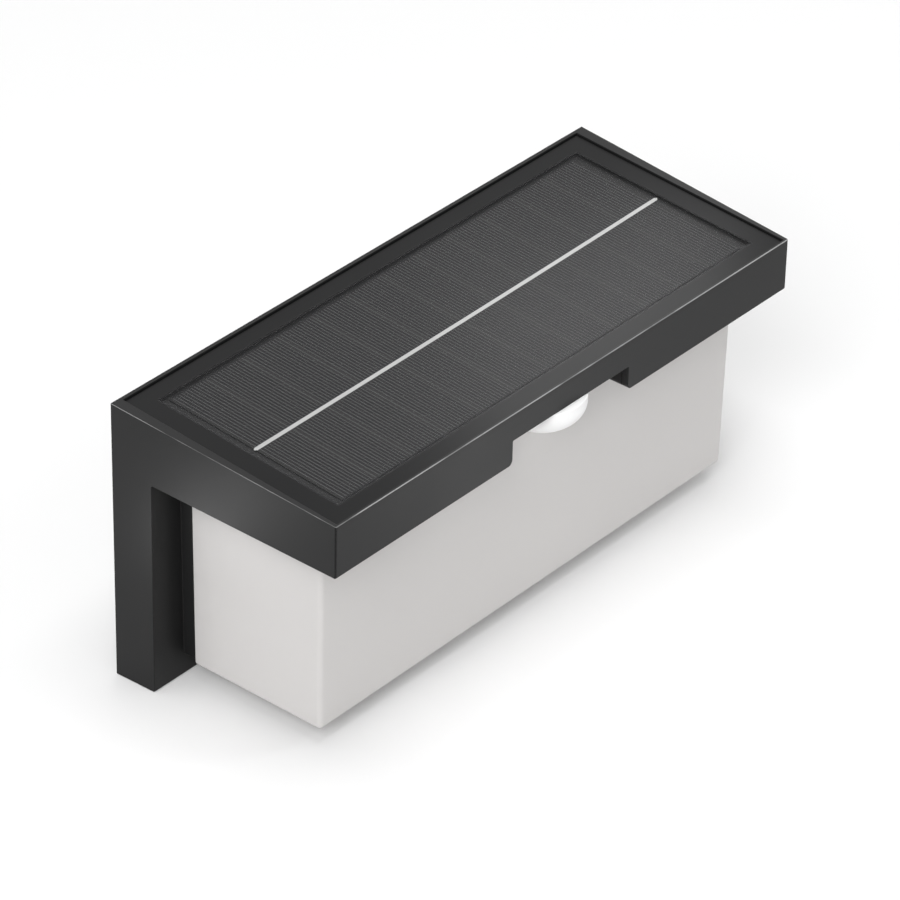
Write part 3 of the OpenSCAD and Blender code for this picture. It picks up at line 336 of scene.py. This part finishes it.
# Cell wafer: near black, with the faint grain of its etched face and a paler band on each side of a cut
def cellFinish():
    made = Finish("cellWafer")
    etched = made.cloud(scale=5200, detail=2.0)
    patch = made.cloud(scale=24, detail=2.0)
    colour = made.between(patch, *panel["wafer"])
    colour = made.between(made.ramp(made.toCut(), *panel["bandWidth"]), colour, panel["band"])
    return made.finish(Base_Color=colour, Roughness=etched*0.1 + 0.42, Specular_IOR_Level=0.2)


# Silver paste of the printed fingers, darker where a bar lies over a cut
def fingerFinish():
    made = Finish("fingerPrint")
    paste = made.cloud(scale=6500, detail=3.0)
    colour = made.between(paste, *panel["paste"])
    colour = made.between(made.toCut() < panel["bridgeReach"], colour, panel["bridge"])
    return made.finish(Base_Color=colour, Roughness=paste*0.2 + 0.5, Specular_IOR_Level=0.2)


opal = {"tones": ((0.645, 0.628, 0.618), (0.685, 0.668, 0.658)), "roughness": 0.4}


def opalFinish():
    made = Finish("opalBox")
    patch = made.cloud(scale=16, detail=2.0)
    fine = made.cloud(scale=2600, detail=2.0)
    colour = made.between(patch, *opal["tones"])
    return made.finish(Base_Color=colour, Roughness=fine*0.1 + opal["roughness"],
                       Normal=made.bump(fine, depth=0.008*mm, strength=0.5))


# White lens with the shallow steps of its facets, in three rings round the dome's axis; the step lines are
# bumps, drawn a little darker as painted shade in the grooves
lensFacets = {
    "centreY": -67.5*mm,
    "rings": (4.2*mm, 7.8*mm, 10.9*mm),
    "counts": (6, 10, 14),
    "line": 0.22*mm,
    "tone": (0.97, 0.97, 0.97),
    "paintedGrooveShade": (0.92, 0.92, 0.92),
}


def lensFinish():
    made = Finish("lensDome")
    across, along, _ = made.axes()
    along = along - lensFacets["centreY"]
    reach = made.radius(across, along)
    turn = made.maths("ARCTAN2", along, across)/(2*math.pi) + 0.5
    groove = None
    inner = 0.0
    for outer, count in zip(lensFacets["rings"], lensFacets["counts"]):
        ring = made.maths("ABSOLUTE", reach - outer) < lensFacets["line"]
        edge = made.maths("ABSOLUTE", made.maths("FRACT", turn*count) - 0.5)
        spoke = (0.5 - edge)*reach*(2*math.pi/count) < lensFacets["line"]
        inside = (reach > inner)*(reach < outer)
        part = made.highest(ring, spoke*inside)
        groove = part if groove is None else made.highest(groove, part)
        inner = outer
    fine = made.cloud(scale=2200, detail=2.0)
    # Groove lines a little darker: painted shade in the facet steps
    colour = made.between(groove, lensFacets["tone"], lensFacets["paintedGrooveShade"])
    return made.finish(Base_Color=colour, Roughness=fine*0.1 + 0.36,
                       Normal=made.bump(1 - groove, depth=0.03*mm, strength=0.35))


# Creased shrink wrap, and bare metal on the two ends
wrap = {"halfLength": 32.1*mm, "tone": (0.04, 0.17, 0.42), "metal": (0.68, 0.68, 0.66)}


def wrapFinish():
    made = Finish("batteryWrap")
    bare = made.maths("ABSOLUTE", made.axes()[0]) > wrap["halfLength"]
    crease = made.cloud(scale=160, detail=3.0, place=made.stretched((6, 1, 1)))
    return made.finish(Base_Color=made.between(bare, wrap["tone"], wrap["metal"]), Metallic=bare,
                       Roughness=crease*0.15 + 0.25, Normal=made.bump(crease, depth=0.04*mm, strength=0.3))


# LED package: a white frame about a round yellow fill, whose radius is a share of the height
led = {
    "columns": 10,
    "rows": 2,
    "width": 3.5*mm,
    "height": 2.8*mm,
    "fill": 0.4,
    "frameTone": (0.85, 0.84, 0.8),
    "fillTone": (0.88, 0.62, 0.12),
}


def ledFinish():
    made = Finish("ledPackage")
    low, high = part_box("leds")
    across, _, up = made.axes()
    fine = made.cloud(scale=2500, detail=2.0)
    pitchX = (high.x - low.x - led["width"])/(led["columns"] - 1)
    pitchZ = (high.z - low.z - led["height"])/(led["rows"] - 1)
    fromMiddle = made.radius(made.folded(across - (low.x + led["width"]/2), pitchX),
                             made.folded(up - (low.z + led["height"]/2), pitchZ))
    colour = made.between(fromMiddle < led["height"]*led["fill"], led["frameTone"], led["fillTone"])
    return made.finish(Base_Color=colour, Roughness=fine*0.1 + 0.3,
                       Normal=made.bump(fine, depth=0.005*mm, strength=0.5))


# Painted light on the bent edges of the black mouldings: a painted highlight in "tone" where they also rise
# enough,
# in patches like wear and glossier by "polish", and painted shade, a darker share of the plastic's own tone,
# on the rest
edgeHighlightAndShade = {
    "middle": (0, -39*mm, 0),
    "bend": (0.05, 0.16),
    "rise": (0.2, 0.5),
    "scale": 55,
    "patches": (0.2, 0.6),
    "tone": (0.3, 0.3, 0.3),
    "shadeShare": 0.35,
    "polish": 0.15,
}
finishes = {
    "black": mouldedPlastic("blackPlastic", (0.0125, 0.0125, 0.0127), 0.46, level=0.2, paintedEdgeLight=edgeHighlightAndShade),
    "foam": foamFinish("tapeFoam", (0.03, 0.03, 0.03)),
    "panelBoard": panelBoardFinish(),
    "cell": cellFinish(),
    "finger": fingerFinish(),
    "ribbon": rolledMetal("tinnedRibbon", (0.61, 0.61, 0.606), 0.5, (0.05, 1, 1), metallic=0.1),
    "cover": coverFinish(),
    "opal": opalFinish(),
    "silicone": rubberFinish("sealSilicone", (0.05, 0.05, 0.052)),
    "screw": rolledMetal("screwSteel", (0.56, 0.56, 0.57), 0.34, (1, 1, 1)),
    "lens": lensFinish(),
    "spring": rolledMetal("springSteel", (0.62, 0.62, 0.62), 0.3, (0.1, 1, 1)),
    "can": rolledMetal("canSteel", (0.66, 0.66, 0.67), 0.3, (1, 1, 0.1)),
    "greenBoard": boardFinish("greenBoard", (0.02, 0.1, 0.04), (0.05, 0.2, 0.07)),
    "whiteBoard": boardFinish("whiteBoard", (0.82, 0.82, 0.8), (0.88, 0.88, 0.86), scale=300),
    "whitePlastic": mouldedPlastic("whitePlastic", (0.86, 0.86, 0.85), 0.3, drift=0.02),
    "led": ledFinish(),
    "wrap": wrapFinish(),
    "chip": mouldedPlastic("chipPlastic", (0.028, 0.028, 0.029), 0.55, grain=3600),
    "button": rubberFinish("buttonRubber", (0.33, 0.33, 0.34)),
    "lead": mouldedPlastic("leadSheath", (0.3, 0.03, 0.03), 0.4, grain=3000),
}
nodeFinishes = {
    "housing": "black", "panel_tape": "foam", "panel_board": "panelBoard", "cell_strips": "cell",
    "tab_ribbon": "ribbon", "panel_cover": "cover", "diffuser": "opal", "diffuser_seal": "silicone",
    "canopy_floor": "black", "floor_screws": "screw", "pir_lens": "lens", "lens_retainer": "spring",
    "pir_sensor": "can", "sensor_board": "greenBoard", "sensor_screws": "screw", "back_plate": "black",
    "back_gasket": "silicone", "back_screws": "screw", "reflector": "whitePlastic",
    "led_board": "whiteBoard", "leds": "led", "led_screws": "screw", "battery_cell": "wrap",
    "battery_contacts": "spring", "battery_pad": "foam", "control_board": "greenBoard",
    "board_parts": "chip", "board_screws": "screw", "mode_switch": "chip", "button_seal": "silicone",
    "mode_button": "button", "switch_plunger": "whitePlastic", "panel_lead": "lead", "led_lead": "lead",
    "sensor_lead": "lead", "battery_leads": "lead",
}
bodyOf = {name: body for body, names in frame["record"]["behaviour"]["bodies"].items() for name in names}
for nodeName, finishName in nodeFinishes.items():
    for slot in nodes[nodeName].material_slots:
        slot.material = finishes[finishName]
print("finishes made:", len(finishes))


# Makes an object from a bmesh shape, with its place in the mesh
def objectFrom(name, shape, finishName):
    mesh = bpy.data.meshes.new(name)
    shape.to_mesh(mesh)
    shape.free()
    mesh.materials.append(finishes[finishName])
    made = bpy.data.objects.new(name, mesh)
    bpy.context.scene.collection.objects.link(made)
    return made


# Turns an object with live modifiers into a plain mesh
def applied(piece):
    bpy.context.view_layer.update()
    evaluated = piece.evaluated_get(bpy.context.evaluated_depsgraph_get())
    mesh = bpy.data.meshes.new_from_object(evaluated)
    piece.modifiers.clear()
    old = piece.data
    piece.data = mesh
    bpy.data.meshes.remove(old)
    mesh.name = piece.name
    return piece


def shapeOf(mesh):
    shape = bmesh.new()
    shape.from_mesh(mesh)
    return shape


def openEdges(mesh):
    shape = shapeOf(mesh)
    count = sum(1 for edge in shape.edges if len(edge.link_faces) != 2)
    shape.free()
    return count


def weldedCopy(nodeName):
    shape = shapeOf(nodes[nodeName].data)
    bmesh.ops.remove_doubles(shape, verts=shape.verts, dist=tolerance["weld"])
    return shape


# A welded copy of a CAD node, its flat faces whole again
def wholeFaces(nodeName):
    shape = weldedCopy(nodeName)
    bmesh.ops.dissolve_limit(shape, angle_limit=tolerance["flat"], verts=shape.verts, edges=shape.edges)
    return shape


# Takes out the edges without length and faces without area that a modifier leaves
def withoutSlivers(piece):
    shape = shapeOf(piece.data)
    bmesh.ops.dissolve_degenerate(shape, dist=tolerance["sliver"], edges=shape.edges)
    shape.to_mesh(piece.data)
    shape.free()
    return piece


def smoothed(piece, sharpAngle=40):
    piece.data.shade_smooth()
    piece.data.set_sharp_from_angle(angle=math.radians(sharpAngle))
    weights = piece.modifiers.new("weights", "WEIGHTED_NORMAL")
    weights.keep_sharp = True
    return applied(piece)


# Puts a piece on the body that its CAD node rides on, and hides that node
def standFor(piece, nodeName):
    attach(piece, bodyOf[nodeName])
    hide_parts(nodeName)
    return piece


# The mouldings whose edges are rounded: each new piece's name, its bevel's width and its steps. Faces that
# meet at less than the soft angle, in degrees, keep their edge as it is
softEdges = {
    "housing": ("housingShell", 0.22*mm, 2),
    "back_plate": ("rearPlate", 0.2*mm, 2),
    "canopy_floor": ("underPan", 0.16*mm, 2),
    "diffuser": ("opalBox", 0.2*mm, 2),
    "mode_button": ("modeButton", 0.3*mm, 3),
    "panel_cover": ("coverSheet", 0.15*mm, 2),
    "reflector": ("reflectorTray", 0.2*mm, 2),
}
softAngle = 32


# A CAD node with its edges rounded by a narrow bevel
def roundedCopy(nodeName, name, width, steps):
    piece = objectFrom(name, wholeFaces(nodeName), nodeFinishes[nodeName])
    before = openEdges(piece.data)
    bevel = piece.modifiers.new("edges", "BEVEL")
    bevel.width = width
    bevel.segments = steps
    bevel.limit_method = "ANGLE"
    bevel.angle_limit = math.radians(softAngle)
    bevel.use_clamp_overlap = False
    withoutSlivers(applied(piece))
    print(name, "faces", len(piece.data.polygons), "open edges", before, openEdges(piece.data))
    smoothed(piece)
    return standFor(piece, nodeName)


for nodeName, (name, width, steps) in softEdges.items():
    roundedCopy(nodeName, name, width, steps)
print("rounded pieces made:", len(softEdges))


# A shape spun round an upright axis, from a profile of radii and heights
def spunShape(profile, centre, steps):
    shape = bmesh.new()
    rings = []
    for turn in range(steps):
        angle = 2*math.pi*turn/steps
        rings.append([shape.verts.new((centre[0] + r*math.cos(angle), centre[1] + r*math.sin(angle), z))
                      for r, z in profile])
    for turn in range(steps):
        here, there = rings[turn], rings[(turn + 1) % steps]
        for index in range(len(profile) - 1):
            shape.faces.new((here[index], there[index], there[index + 1], here[index + 1]))
    bmesh.ops.remove_doubles(shape, verts=shape.verts, dist=tolerance["spun"])
    bmesh.ops.recalc_face_normals(shape, faces=shape.faces)
    return shape


# Lens: a shell spun round the dome's axis, finer than the CAD's. An outer edge is rounded over the length
# "edge", with its middle point set in by the share "ease" of it
lensShape = {
    "wall": 0.9*mm,
    "domeHeight": 8.15*mm,
    "skirt": 2.45*mm,
    "neck": 6.2*mm,
    "edge": 0.25*mm,
    "ease": 0.3,
    "steps": 96,
    "profileSteps": 28,
}


def buildLens():
    low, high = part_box("pir_lens")
    radius = (high.x - low.x)/2
    centre = ((low.x + high.x)/2, (low.y + high.y)/2)
    wall, edge, neck, dome = (lensShape[key] for key in ("wall", "edge", "neck", "domeHeight"))
    rim = low.z + dome
    top = rim + lensShape["skirt"]
    steps = lensShape["profileSteps"]
    ease = edge*lensShape["ease"]

    def bowl(across, height):
        angles = [math.pi/2*index/steps for index in range(steps + 1)]
        return [(across*math.sin(angle), rim - height*math.cos(angle)) for angle in angles]

    def corner(across, height):
        return [(across, height - edge), (across - ease, height - ease), (across - edge, height)]

    shoulder = corner(radius, top) + [(neck, top)] + corner(neck, high.z)
    shoulder += [(neck - wall, high.z), (neck - wall, top - wall), (radius - wall, top - wall)]
    profile = bowl(radius, dome) + shoulder + bowl(radius - wall, dome - wall)[::-1]
    piece = objectFrom("lensDome", spunShape(profile, centre, lensShape["steps"]), "lens")
    print("lens faces", len(piece.data.polygons), "open edges", openEdges(piece.data))
    smoothed(piece)
    return standFor(piece, "pir_lens")


buildLens()
print("lens made")


# Geometry node groups that are applied as soon as they are filled
def patternTree(name, inputs):
    tree = bpy.data.node_groups.new(name, "GeometryNodeTree")
    tree.interface.new_socket(name="Geometry", in_out="OUTPUT", socket_type="NodeSocketGeometry")
    sockets = {label: tree.interface.new_socket(name=label, in_out="INPUT", socket_type=kind)
               for label, kind in inputs.items()}
    recipe = Recipe(tree)
    entry = tree.nodes.new("NodeGroupInput")
    wires = {label: Wire(recipe, entry.outputs[label]) for label in sockets}
    return tree, recipe, wires, {label: socket.identifier for label, socket in sockets.items()}


def endTree(recipe, geometry, finish):
    whole = recipe.add("GeometryNodeRealizeInstances", None, {0: geometry})
    dressed = recipe.add("GeometryNodeSetMaterial", None, {"Geometry": whole, "Material": finish})
    wayOut = recipe.tree.nodes.new("NodeGroupOutput")
    recipe.tree.links.new(dressed.socket, wayOut.inputs[0])


def grownPiece(name, tree, identifiers, values):
    piece = bpy.data.objects.new(name, bpy.data.meshes.new(name))
    grow = piece.modifiers.new("pattern", "NODES")
    grow.node_group = tree
    for label, value in values.items():
        grow[identifiers[label]] = value
    bpy.context.scene.collection.objects.link(piece)
    return applied(piece)


# A row of copies along the panel, centred on zero
def row(recipe, shape, count, pitch):
    start = recipe.add("ShaderNodeCombineXYZ", None, {0: (1 - count)*pitch/2})
    step = recipe.add("ShaderNodeCombineXYZ", None, {0: pitch})
    line = recipe.add("GeometryNodeMeshLine", {"mode": "OFFSET"},
                      {"Count": count, "Start Location": start, "Offset": step})
    return recipe.add("GeometryNodeInstanceOnPoints", None, {"Points": line, "Instance": shape})


def bar(recipe, width, length, height):
    size = recipe.add("ShaderNodeCombineXYZ", None, {0: width, 1: length, 2: height})
    return recipe.add("GeometryNodeMeshCube", None, {"Size": size})


# The highest corners of the cells at the panel's back and at its front
def cellCorners():
    corners = [vertex.co for vertex in nodes["cell_strips"].data.vertices]
    back = max((p for p in corners if p.y > cellHigh.y - tolerance["side"]), key=lambda p: p.z)
    front = max((p for p in corners if p.y < cellLow.y + tolerance["side"]), key=lambda p: p.z)
    return back, front


# Fingers printed on the cells: thin bars along the panel's depth, in one group on each strip, with a wider
# bar over each cut. "rise" is how far a bar's middle stands above the cells, as a share of its height
fingers = {
    "perStrip": 11,
    "pitch": 1.16*mm,
    "width": 0.18*mm,
    "height": 0.03*mm,
    "inset": 0.5*mm,
    "bridge": 0.46*mm,
    "rise": 0.4,
}


def buildFingers():
    tree, recipe, wires, identifiers = patternTree("fingerPrint", {
        "Strips": "NodeSocketInt", "Strip Pitch": "NodeSocketFloat", "Fingers": "NodeSocketInt",
        "Finger Pitch": "NodeSocketFloat", "Width": "NodeSocketFloat", "Bridges": "NodeSocketInt",
        "Bridge Width": "NodeSocketFloat", "Length": "NodeSocketFloat", "Height": "NodeSocketFloat",
        "Centre": "NodeSocketVector", "Tilt": "NodeSocketVector"})
    finger = bar(recipe, wires["Width"], wires["Length"], wires["Height"])
    group = row(recipe, finger, wires["Fingers"], wires["Finger Pitch"])
    whole = row(recipe, group, wires["Strips"], wires["Strip Pitch"])
    wide = bar(recipe, wires["Bridge Width"], wires["Length"], wires["Height"])
    bridges = row(recipe, wide, wires["Bridges"], wires["Strip Pitch"])
    joined = recipe.tree.nodes.new("GeometryNodeJoinGeometry")
    for part in (whole, bridges):
        recipe.tree.links.new(part.socket, joined.inputs[0])
    solid = recipe.add("GeometryNodeRealizeInstances", None, {0: Wire(recipe, joined.outputs[0])})
    placed = recipe.add("GeometryNodeTransform", None,
                        {"Geometry": solid, "Translation": wires["Centre"], "Rotation": wires["Tilt"]})
    endTree(recipe, placed, finishes["finger"])
    back, front = cellCorners()
    slope = math.atan2(back.z - front.z, back.y - front.y)
    up = Vector((0, -math.sin(slope), math.cos(slope)))
    middle = (Vector((0, back.y, back.z)) + Vector((0, front.y, front.z)))/2
    length = math.hypot(back.y - front.y, back.z - front.z) - 2*fingers["inset"]
    piece = grownPiece("cellFingers", tree, identifiers, {
        "Strips": strips["count"], "Strip Pitch": stripPitch, "Fingers": fingers["perStrip"],
        "Finger Pitch": fingers["pitch"], "Width": fingers["width"], "Length": length,
        "Bridges": strips["count"] - 1, "Bridge Width": fingers["bridge"], "Height": fingers["height"],
        "Centre": middle + up*fingers["height"]*fingers["rise"], "Tilt": (slope, 0.0, 0.0)})
    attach(piece, "body")
    print("fingers:", len(piece.data.polygons), "faces, slope", round(math.degrees(slope), 3))


buildFingers()


# The ribbon soldered across the strips: it wanders a little to one side and dips at each cut between two
# strips. Its section is given as shares of its half width and of its thickness
ribbon = {
    "width": 1.26*mm,
    "thick": 0.13*mm,
    "bow": 0.6*mm,
    "bowReach": 0.75,
    "dip": 0.04*mm,
    "dipWidth": 0.6*mm,
    "section": ((-1, 0), (-1, 0.6), (-0.75, 1), (0.75, 1), (1, 0.6), (1, 0)),
    "endShare": 0.4,
    "leastHalf": 0.01*mm,
    "steps": 240,
}


# Where the CAD's ribbon starts and stops, seen from above
def ribbonEnds():
    points = [vertex.co for vertex in nodes["tab_ribbon"].data.vertices]
    low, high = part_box("tab_ribbon")
    near = (high.y - low.y)*ribbon["endShare"]
    first = [p for p in points if p.x < low.x + near]
    last = [p for p in points if p.x > high.x - near]
    startY, stopY = ((sum(end, Vector())/len(end)).y for end in (first, last))
    return Vector((low.x, startY, 0)), Vector((high.x, stopY, 0))


def buildRibbon():
    start, stop = ribbonEnds()
    back, front = cellCorners()
    slope = Vector((0, front.y - back.y, front.z - back.z)).normalized()
    up = Vector((0, slope.z, -slope.y))
    half, length = ribbon["width"]/2, stop.x - start.x
    shape = bmesh.new()
    rings = []
    for index in range(ribbon["steps"] + 1):
        share = index/ribbon["steps"]
        toEnd = min(length*share, length - length*share)
        wide = half
        if toEnd <= half:
            wide = math.sqrt(max(half*half - (half - toEnd)**2, ribbon["leastHalf"]**2))
        middle = start.lerp(stop, share)
        middle = middle + slope*ribbon["bow"]*math.sin(math.pi*ribbon["bowReach"]*share)
        middle.z = (back + slope*(middle.y - back.y)/slope.y).z
        toCut = abs((middle.x - cellLow.x + stripPitch/2) % stripPitch - stripPitch/2)
        top = ribbon["thick"] - ribbon["dip"]*math.exp(-(toCut/ribbon["dipWidth"])**2)
        rings.append([shape.verts.new(middle + slope*wide*side + up*(top*rise))
                      for side, rise in ribbon["section"]])
    corners = len(ribbon["section"])
    for here, there in zip(rings, rings[1:]):
        for index in range(corners):
            other = (index + 1) % corners
            shape.faces.new((here[index], there[index], there[other], here[other]))
    shape.faces.new(rings[0])
    shape.faces.new(rings[-1])
    bmesh.ops.recalc_face_normals(shape, faces=shape.faces)
    piece = objectFrom("tinnedRibbon", shape, "ribbon")
    print("ribbon faces", len(piece.data.polygons), "open edges", openEdges(piece.data))
    smoothed(piece, sharpAngle=30)
    return standFor(piece, "tab_ribbon")


buildRibbon()


# Pan head screws with a cross recess. The crown is in shares of the head's radius and height, the widths of
# neck and tip in shares of the shank's radius, and the places along the thread in shares of its pitch
screwHead = {
    "radius": 2.6*mm,
    "height": 1.5*mm,
    "shank": 1.3*mm,
    "length": 8*mm,
    "slot": 0.65*mm,
    "reach": 1.6*mm,
    "deep": 0.9*mm,
    "threadPitch": 0.9*mm,
    "threadDepth": 0.18*mm,
    "crown": ((0.0, 1), (0.55, 0.97), (0.85, 0.8), (0.97, 0.5), (1, 0.2), (0.99, 0.04), (0.96, 0.0)),
    "neck": 1.04,
    "neckEnd": 0.4,
    "threadStart": 0.6,
    "crest": (0.35, 0.45),
    "tipWidth": 0.6,
    "tip": (0.7, 0.1),
    "steps": 32,
}


# The box of each separate solid of a CAD node
def islandBoxes(nodeName):
    shape = weldedCopy(nodeName)
    seen, boxes = set(), []
    for seed in shape.verts:
        if seed in seen:
            continue
        stack, part = [seed], []
        seen.add(seed)
        while stack:
            vertex = stack.pop()
            part.append(vertex.co.copy())
            for edge in vertex.link_edges:
                other = edge.other_vert(vertex)
                if other not in seen:
                    seen.add(other)
                    stack.append(other)
        boxes.append([Vector([choose(p[axis] for p in part) for axis in range(3)]) for choose in (min, max)])
    shape.free()
    return boxes


def screwProfile(sizes):
    height, shank, length = sizes["height"], sizes["shank"], sizes["length"]
    pitch, root = sizes["threadPitch"], sizes["shank"] - sizes["threadDepth"]
    profile = [(sizes["radius"]*across, -height*up) for across, up in sizes["crown"]]
    profile += [(shank*sizes["neck"], 0.0), (shank, pitch*sizes["neckEnd"])]
    rise = pitch*sizes["threadStart"]
    while rise < length - pitch:
        profile += [(root, rise)] + [(shank, rise + pitch*share) for share in sizes["crest"]]
        rise += pitch
    before, atEnd = (length - pitch*share for share in sizes["tip"])
    return profile + [(root, before), (shank*sizes["tipWidth"], atEnd), (0.0, length)]


def screwPattern(name, sizes):
    screw = objectFrom(name, spunShape(screwProfile(sizes), (0, 0), sizes["steps"]), "screw")
    cutter = bmesh.new()
    for turn in (0, math.pi/2):
        cube = bmesh.ops.create_cube(cutter, size=1)["verts"]
        bmesh.ops.scale(cutter, verts=cube, vec=(2*sizes["reach"], sizes["slot"], sizes["deep"]*2))
        bmesh.ops.rotate(cutter, verts=cube, cent=(0, 0, 0), matrix=Matrix.Rotation(turn, 3, "Z"))
        bmesh.ops.translate(cutter, verts=cube, vec=(0, 0, -sizes["height"]))
    tool = objectFrom(name + "Recess", cutter, "screw")
    cut = screw.modifiers.new("recess", "BOOLEAN")
    cut.operation = "DIFFERENCE"
    cut.object = tool
    cut.use_self = True
    withoutSlivers(applied(screw))
    bpy.data.objects.remove(tool)
    return screw


# Screws at the places of the CAD's, turned about the X axis by an angle in degrees
def buildScrews(nodeName, name, sizes, turn):
    pattern = screwPattern(name + "Pattern", sizes)
    forward = Matrix.Rotation(math.radians(turn), 3, "X") @ Vector((0, 0, 1))
    places = []
    for lowest, highest in islandBoxes(nodeName):
        half = (highest - lowest)/2
        headEnd = (lowest + highest)/2 - Vector([forward[axis]*half[axis] for axis in range(3)])
        places.append(headEnd + forward*sizes["height"])
    tree, recipe, wires, identifiers = patternTree(name, {
        "Points": "NodeSocketObject", "Screw": "NodeSocketObject", "Aim": "NodeSocketRotation"})
    points = recipe.add("GeometryNodeObjectInfo", None, {"Object": wires["Points"]}, output=4)
    shape = recipe.add("GeometryNodeObjectInfo", None, {"Object": wires["Screw"]}, output=4)
    spread = recipe.add("GeometryNodeInstanceOnPoints", None,
                        {"Points": points, "Instance": shape, "Rotation": wires["Aim"]})
    endTree(recipe, spread, finishes["screw"])
    spots = bmesh.new()
    for place in places:
        spots.verts.new(place)
    spotObject = objectFrom(name + "Points", spots, "screw")
    piece = grownPiece(name, tree, identifiers, {
        "Points": spotObject, "Screw": pattern, "Aim": (math.radians(turn), 0.0, 0.0)})
    for spare in (spotObject, pattern):
        bpy.data.objects.remove(spare)
    print(name, "screws", len(places), "open edges", openEdges(piece.data))
    smoothed(piece, sharpAngle=35)
    return standFor(piece, nodeName)


buildScrews("back_screws", "rearScrews", screwHead, 90)
print("screws made")


# White floor and surroundings. Only rays from the camera, reflections and glass see the floor's lift and the
# surroundings at full strength; all others see the surroundings as ambient light
studio = {"floorZ": -64.12*mm, "floorSize": 8.0, "floorTone": 0.8, "lift": 0.092, "ambient": 0.29}


def seenDirectly(recipe):
    path = recipe.add("ShaderNodeLightPath").socket.node.outputs
    rays = ("Is Camera Ray", "Is Glossy Ray", "Is Transmission Ray")
    return recipe.highest(*[Wire(recipe, path[label]) for label in rays])


def buildFloor():
    made = Finish("studioFloor")
    diffuse = made.add("ShaderNodeBsdfDiffuse", None, {"Color": (studio["floorTone"],)*3 + (1,)})
    glow = made.add("ShaderNodeEmission", None, {"Strength": seenDirectly(made)*studio["lift"]})
    both = made.add("ShaderNodeAddShader", None, {0: diffuse, 1: glow})
    made.add("ShaderNodeOutputMaterial", None, {"Surface": both})
    finishes["floor"] = made.material
    sheet = bmesh.new()
    bmesh.ops.create_grid(sheet, x_segments=1, y_segments=1, size=studio["floorSize"]/2)
    bmesh.ops.translate(sheet, verts=sheet.verts, vec=(0, 0, studio["floorZ"]))
    objectFrom("studioFloor", sheet, "floor")


def buildSurroundings():
    world = bpy.data.worlds.new("studio")
    world.use_nodes = True
    world.node_tree.nodes.clear()
    sky = Recipe(world.node_tree)
    level = seenDirectly(sky)*(1 - studio["ambient"]) + studio["ambient"]
    shine = sky.add("ShaderNodeBackground", None, {"Color": (1, 1, 1, 1), "Strength": level})
    sky.add("ShaderNodeOutputWorld", None, {"Surface": shine})
    bpy.context.scene.world = world


# A lamp looks at the target and lights everything. A card has an aim of its own, and adds reflections alone
target = (0, -0.038, -0.02)
lamps = {
    "keyLamp": {"place": (-1.9, -0.9, 1.7), "size": 1.4, "power": 41.8},
    "overLamp": {"place": (0, -0.1, 2.4), "size": 1.6, "power": 36.6},
    "edgeLamp": {"place": (0.95, -0.85, 0.8), "size": 0.3, "power": 2.5},
    "topNearCard": {"place": (0.137, -0.019, 0.094), "size": 0.04, "power": 0.0204,
                    "aim": (0.06, -0.072, 0.019)},
    "topMiddleCard": {"place": (0.089, -0.009, 0.107), "size": 0.05, "power": 0.0316,
                      "aim": (-0.001, -0.071, 0.019)},
    "armCard": {"place": (-0.135, -0.006, -0.028), "size": 0.0145, "power": 0.009,
                "aim": (-0.0995, -0.035, 0.002)},
    "lipCard": {"place": (0.0586, -0.155, -0.056), "size": 0.05, "power": 0.0128,
                "aim": (-0.025, -0.078, 0.01)},
    "lipNearCard": {"place": (0.0015, -0.1205, -0.036), "size": 0.03, "power": 0.0035,
                    "aim": (-0.05, -0.078, 0.008)},
}


def buildLamp(name, lamp):
    data = bpy.data.lights.new(name, "AREA")
    data.shape = "SQUARE"
    data.size = lamp["size"]
    data.energy = lamp["power"]
    made = bpy.data.objects.new(name, data)
    made.location = lamp["place"]
    made.visible_camera = False
    made.visible_diffuse = "aim" not in lamp
    aim = Vector(lamp.get("aim", target))
    made.rotation_euler = (aim - made.location).to_track_quat("-Z", "Y").to_euler()
    bpy.context.scene.collection.objects.link(made)


buildFloor()
buildSurroundings()
for name, lamp in lamps.items():
    buildLamp(name, lamp)
print("studio ready")
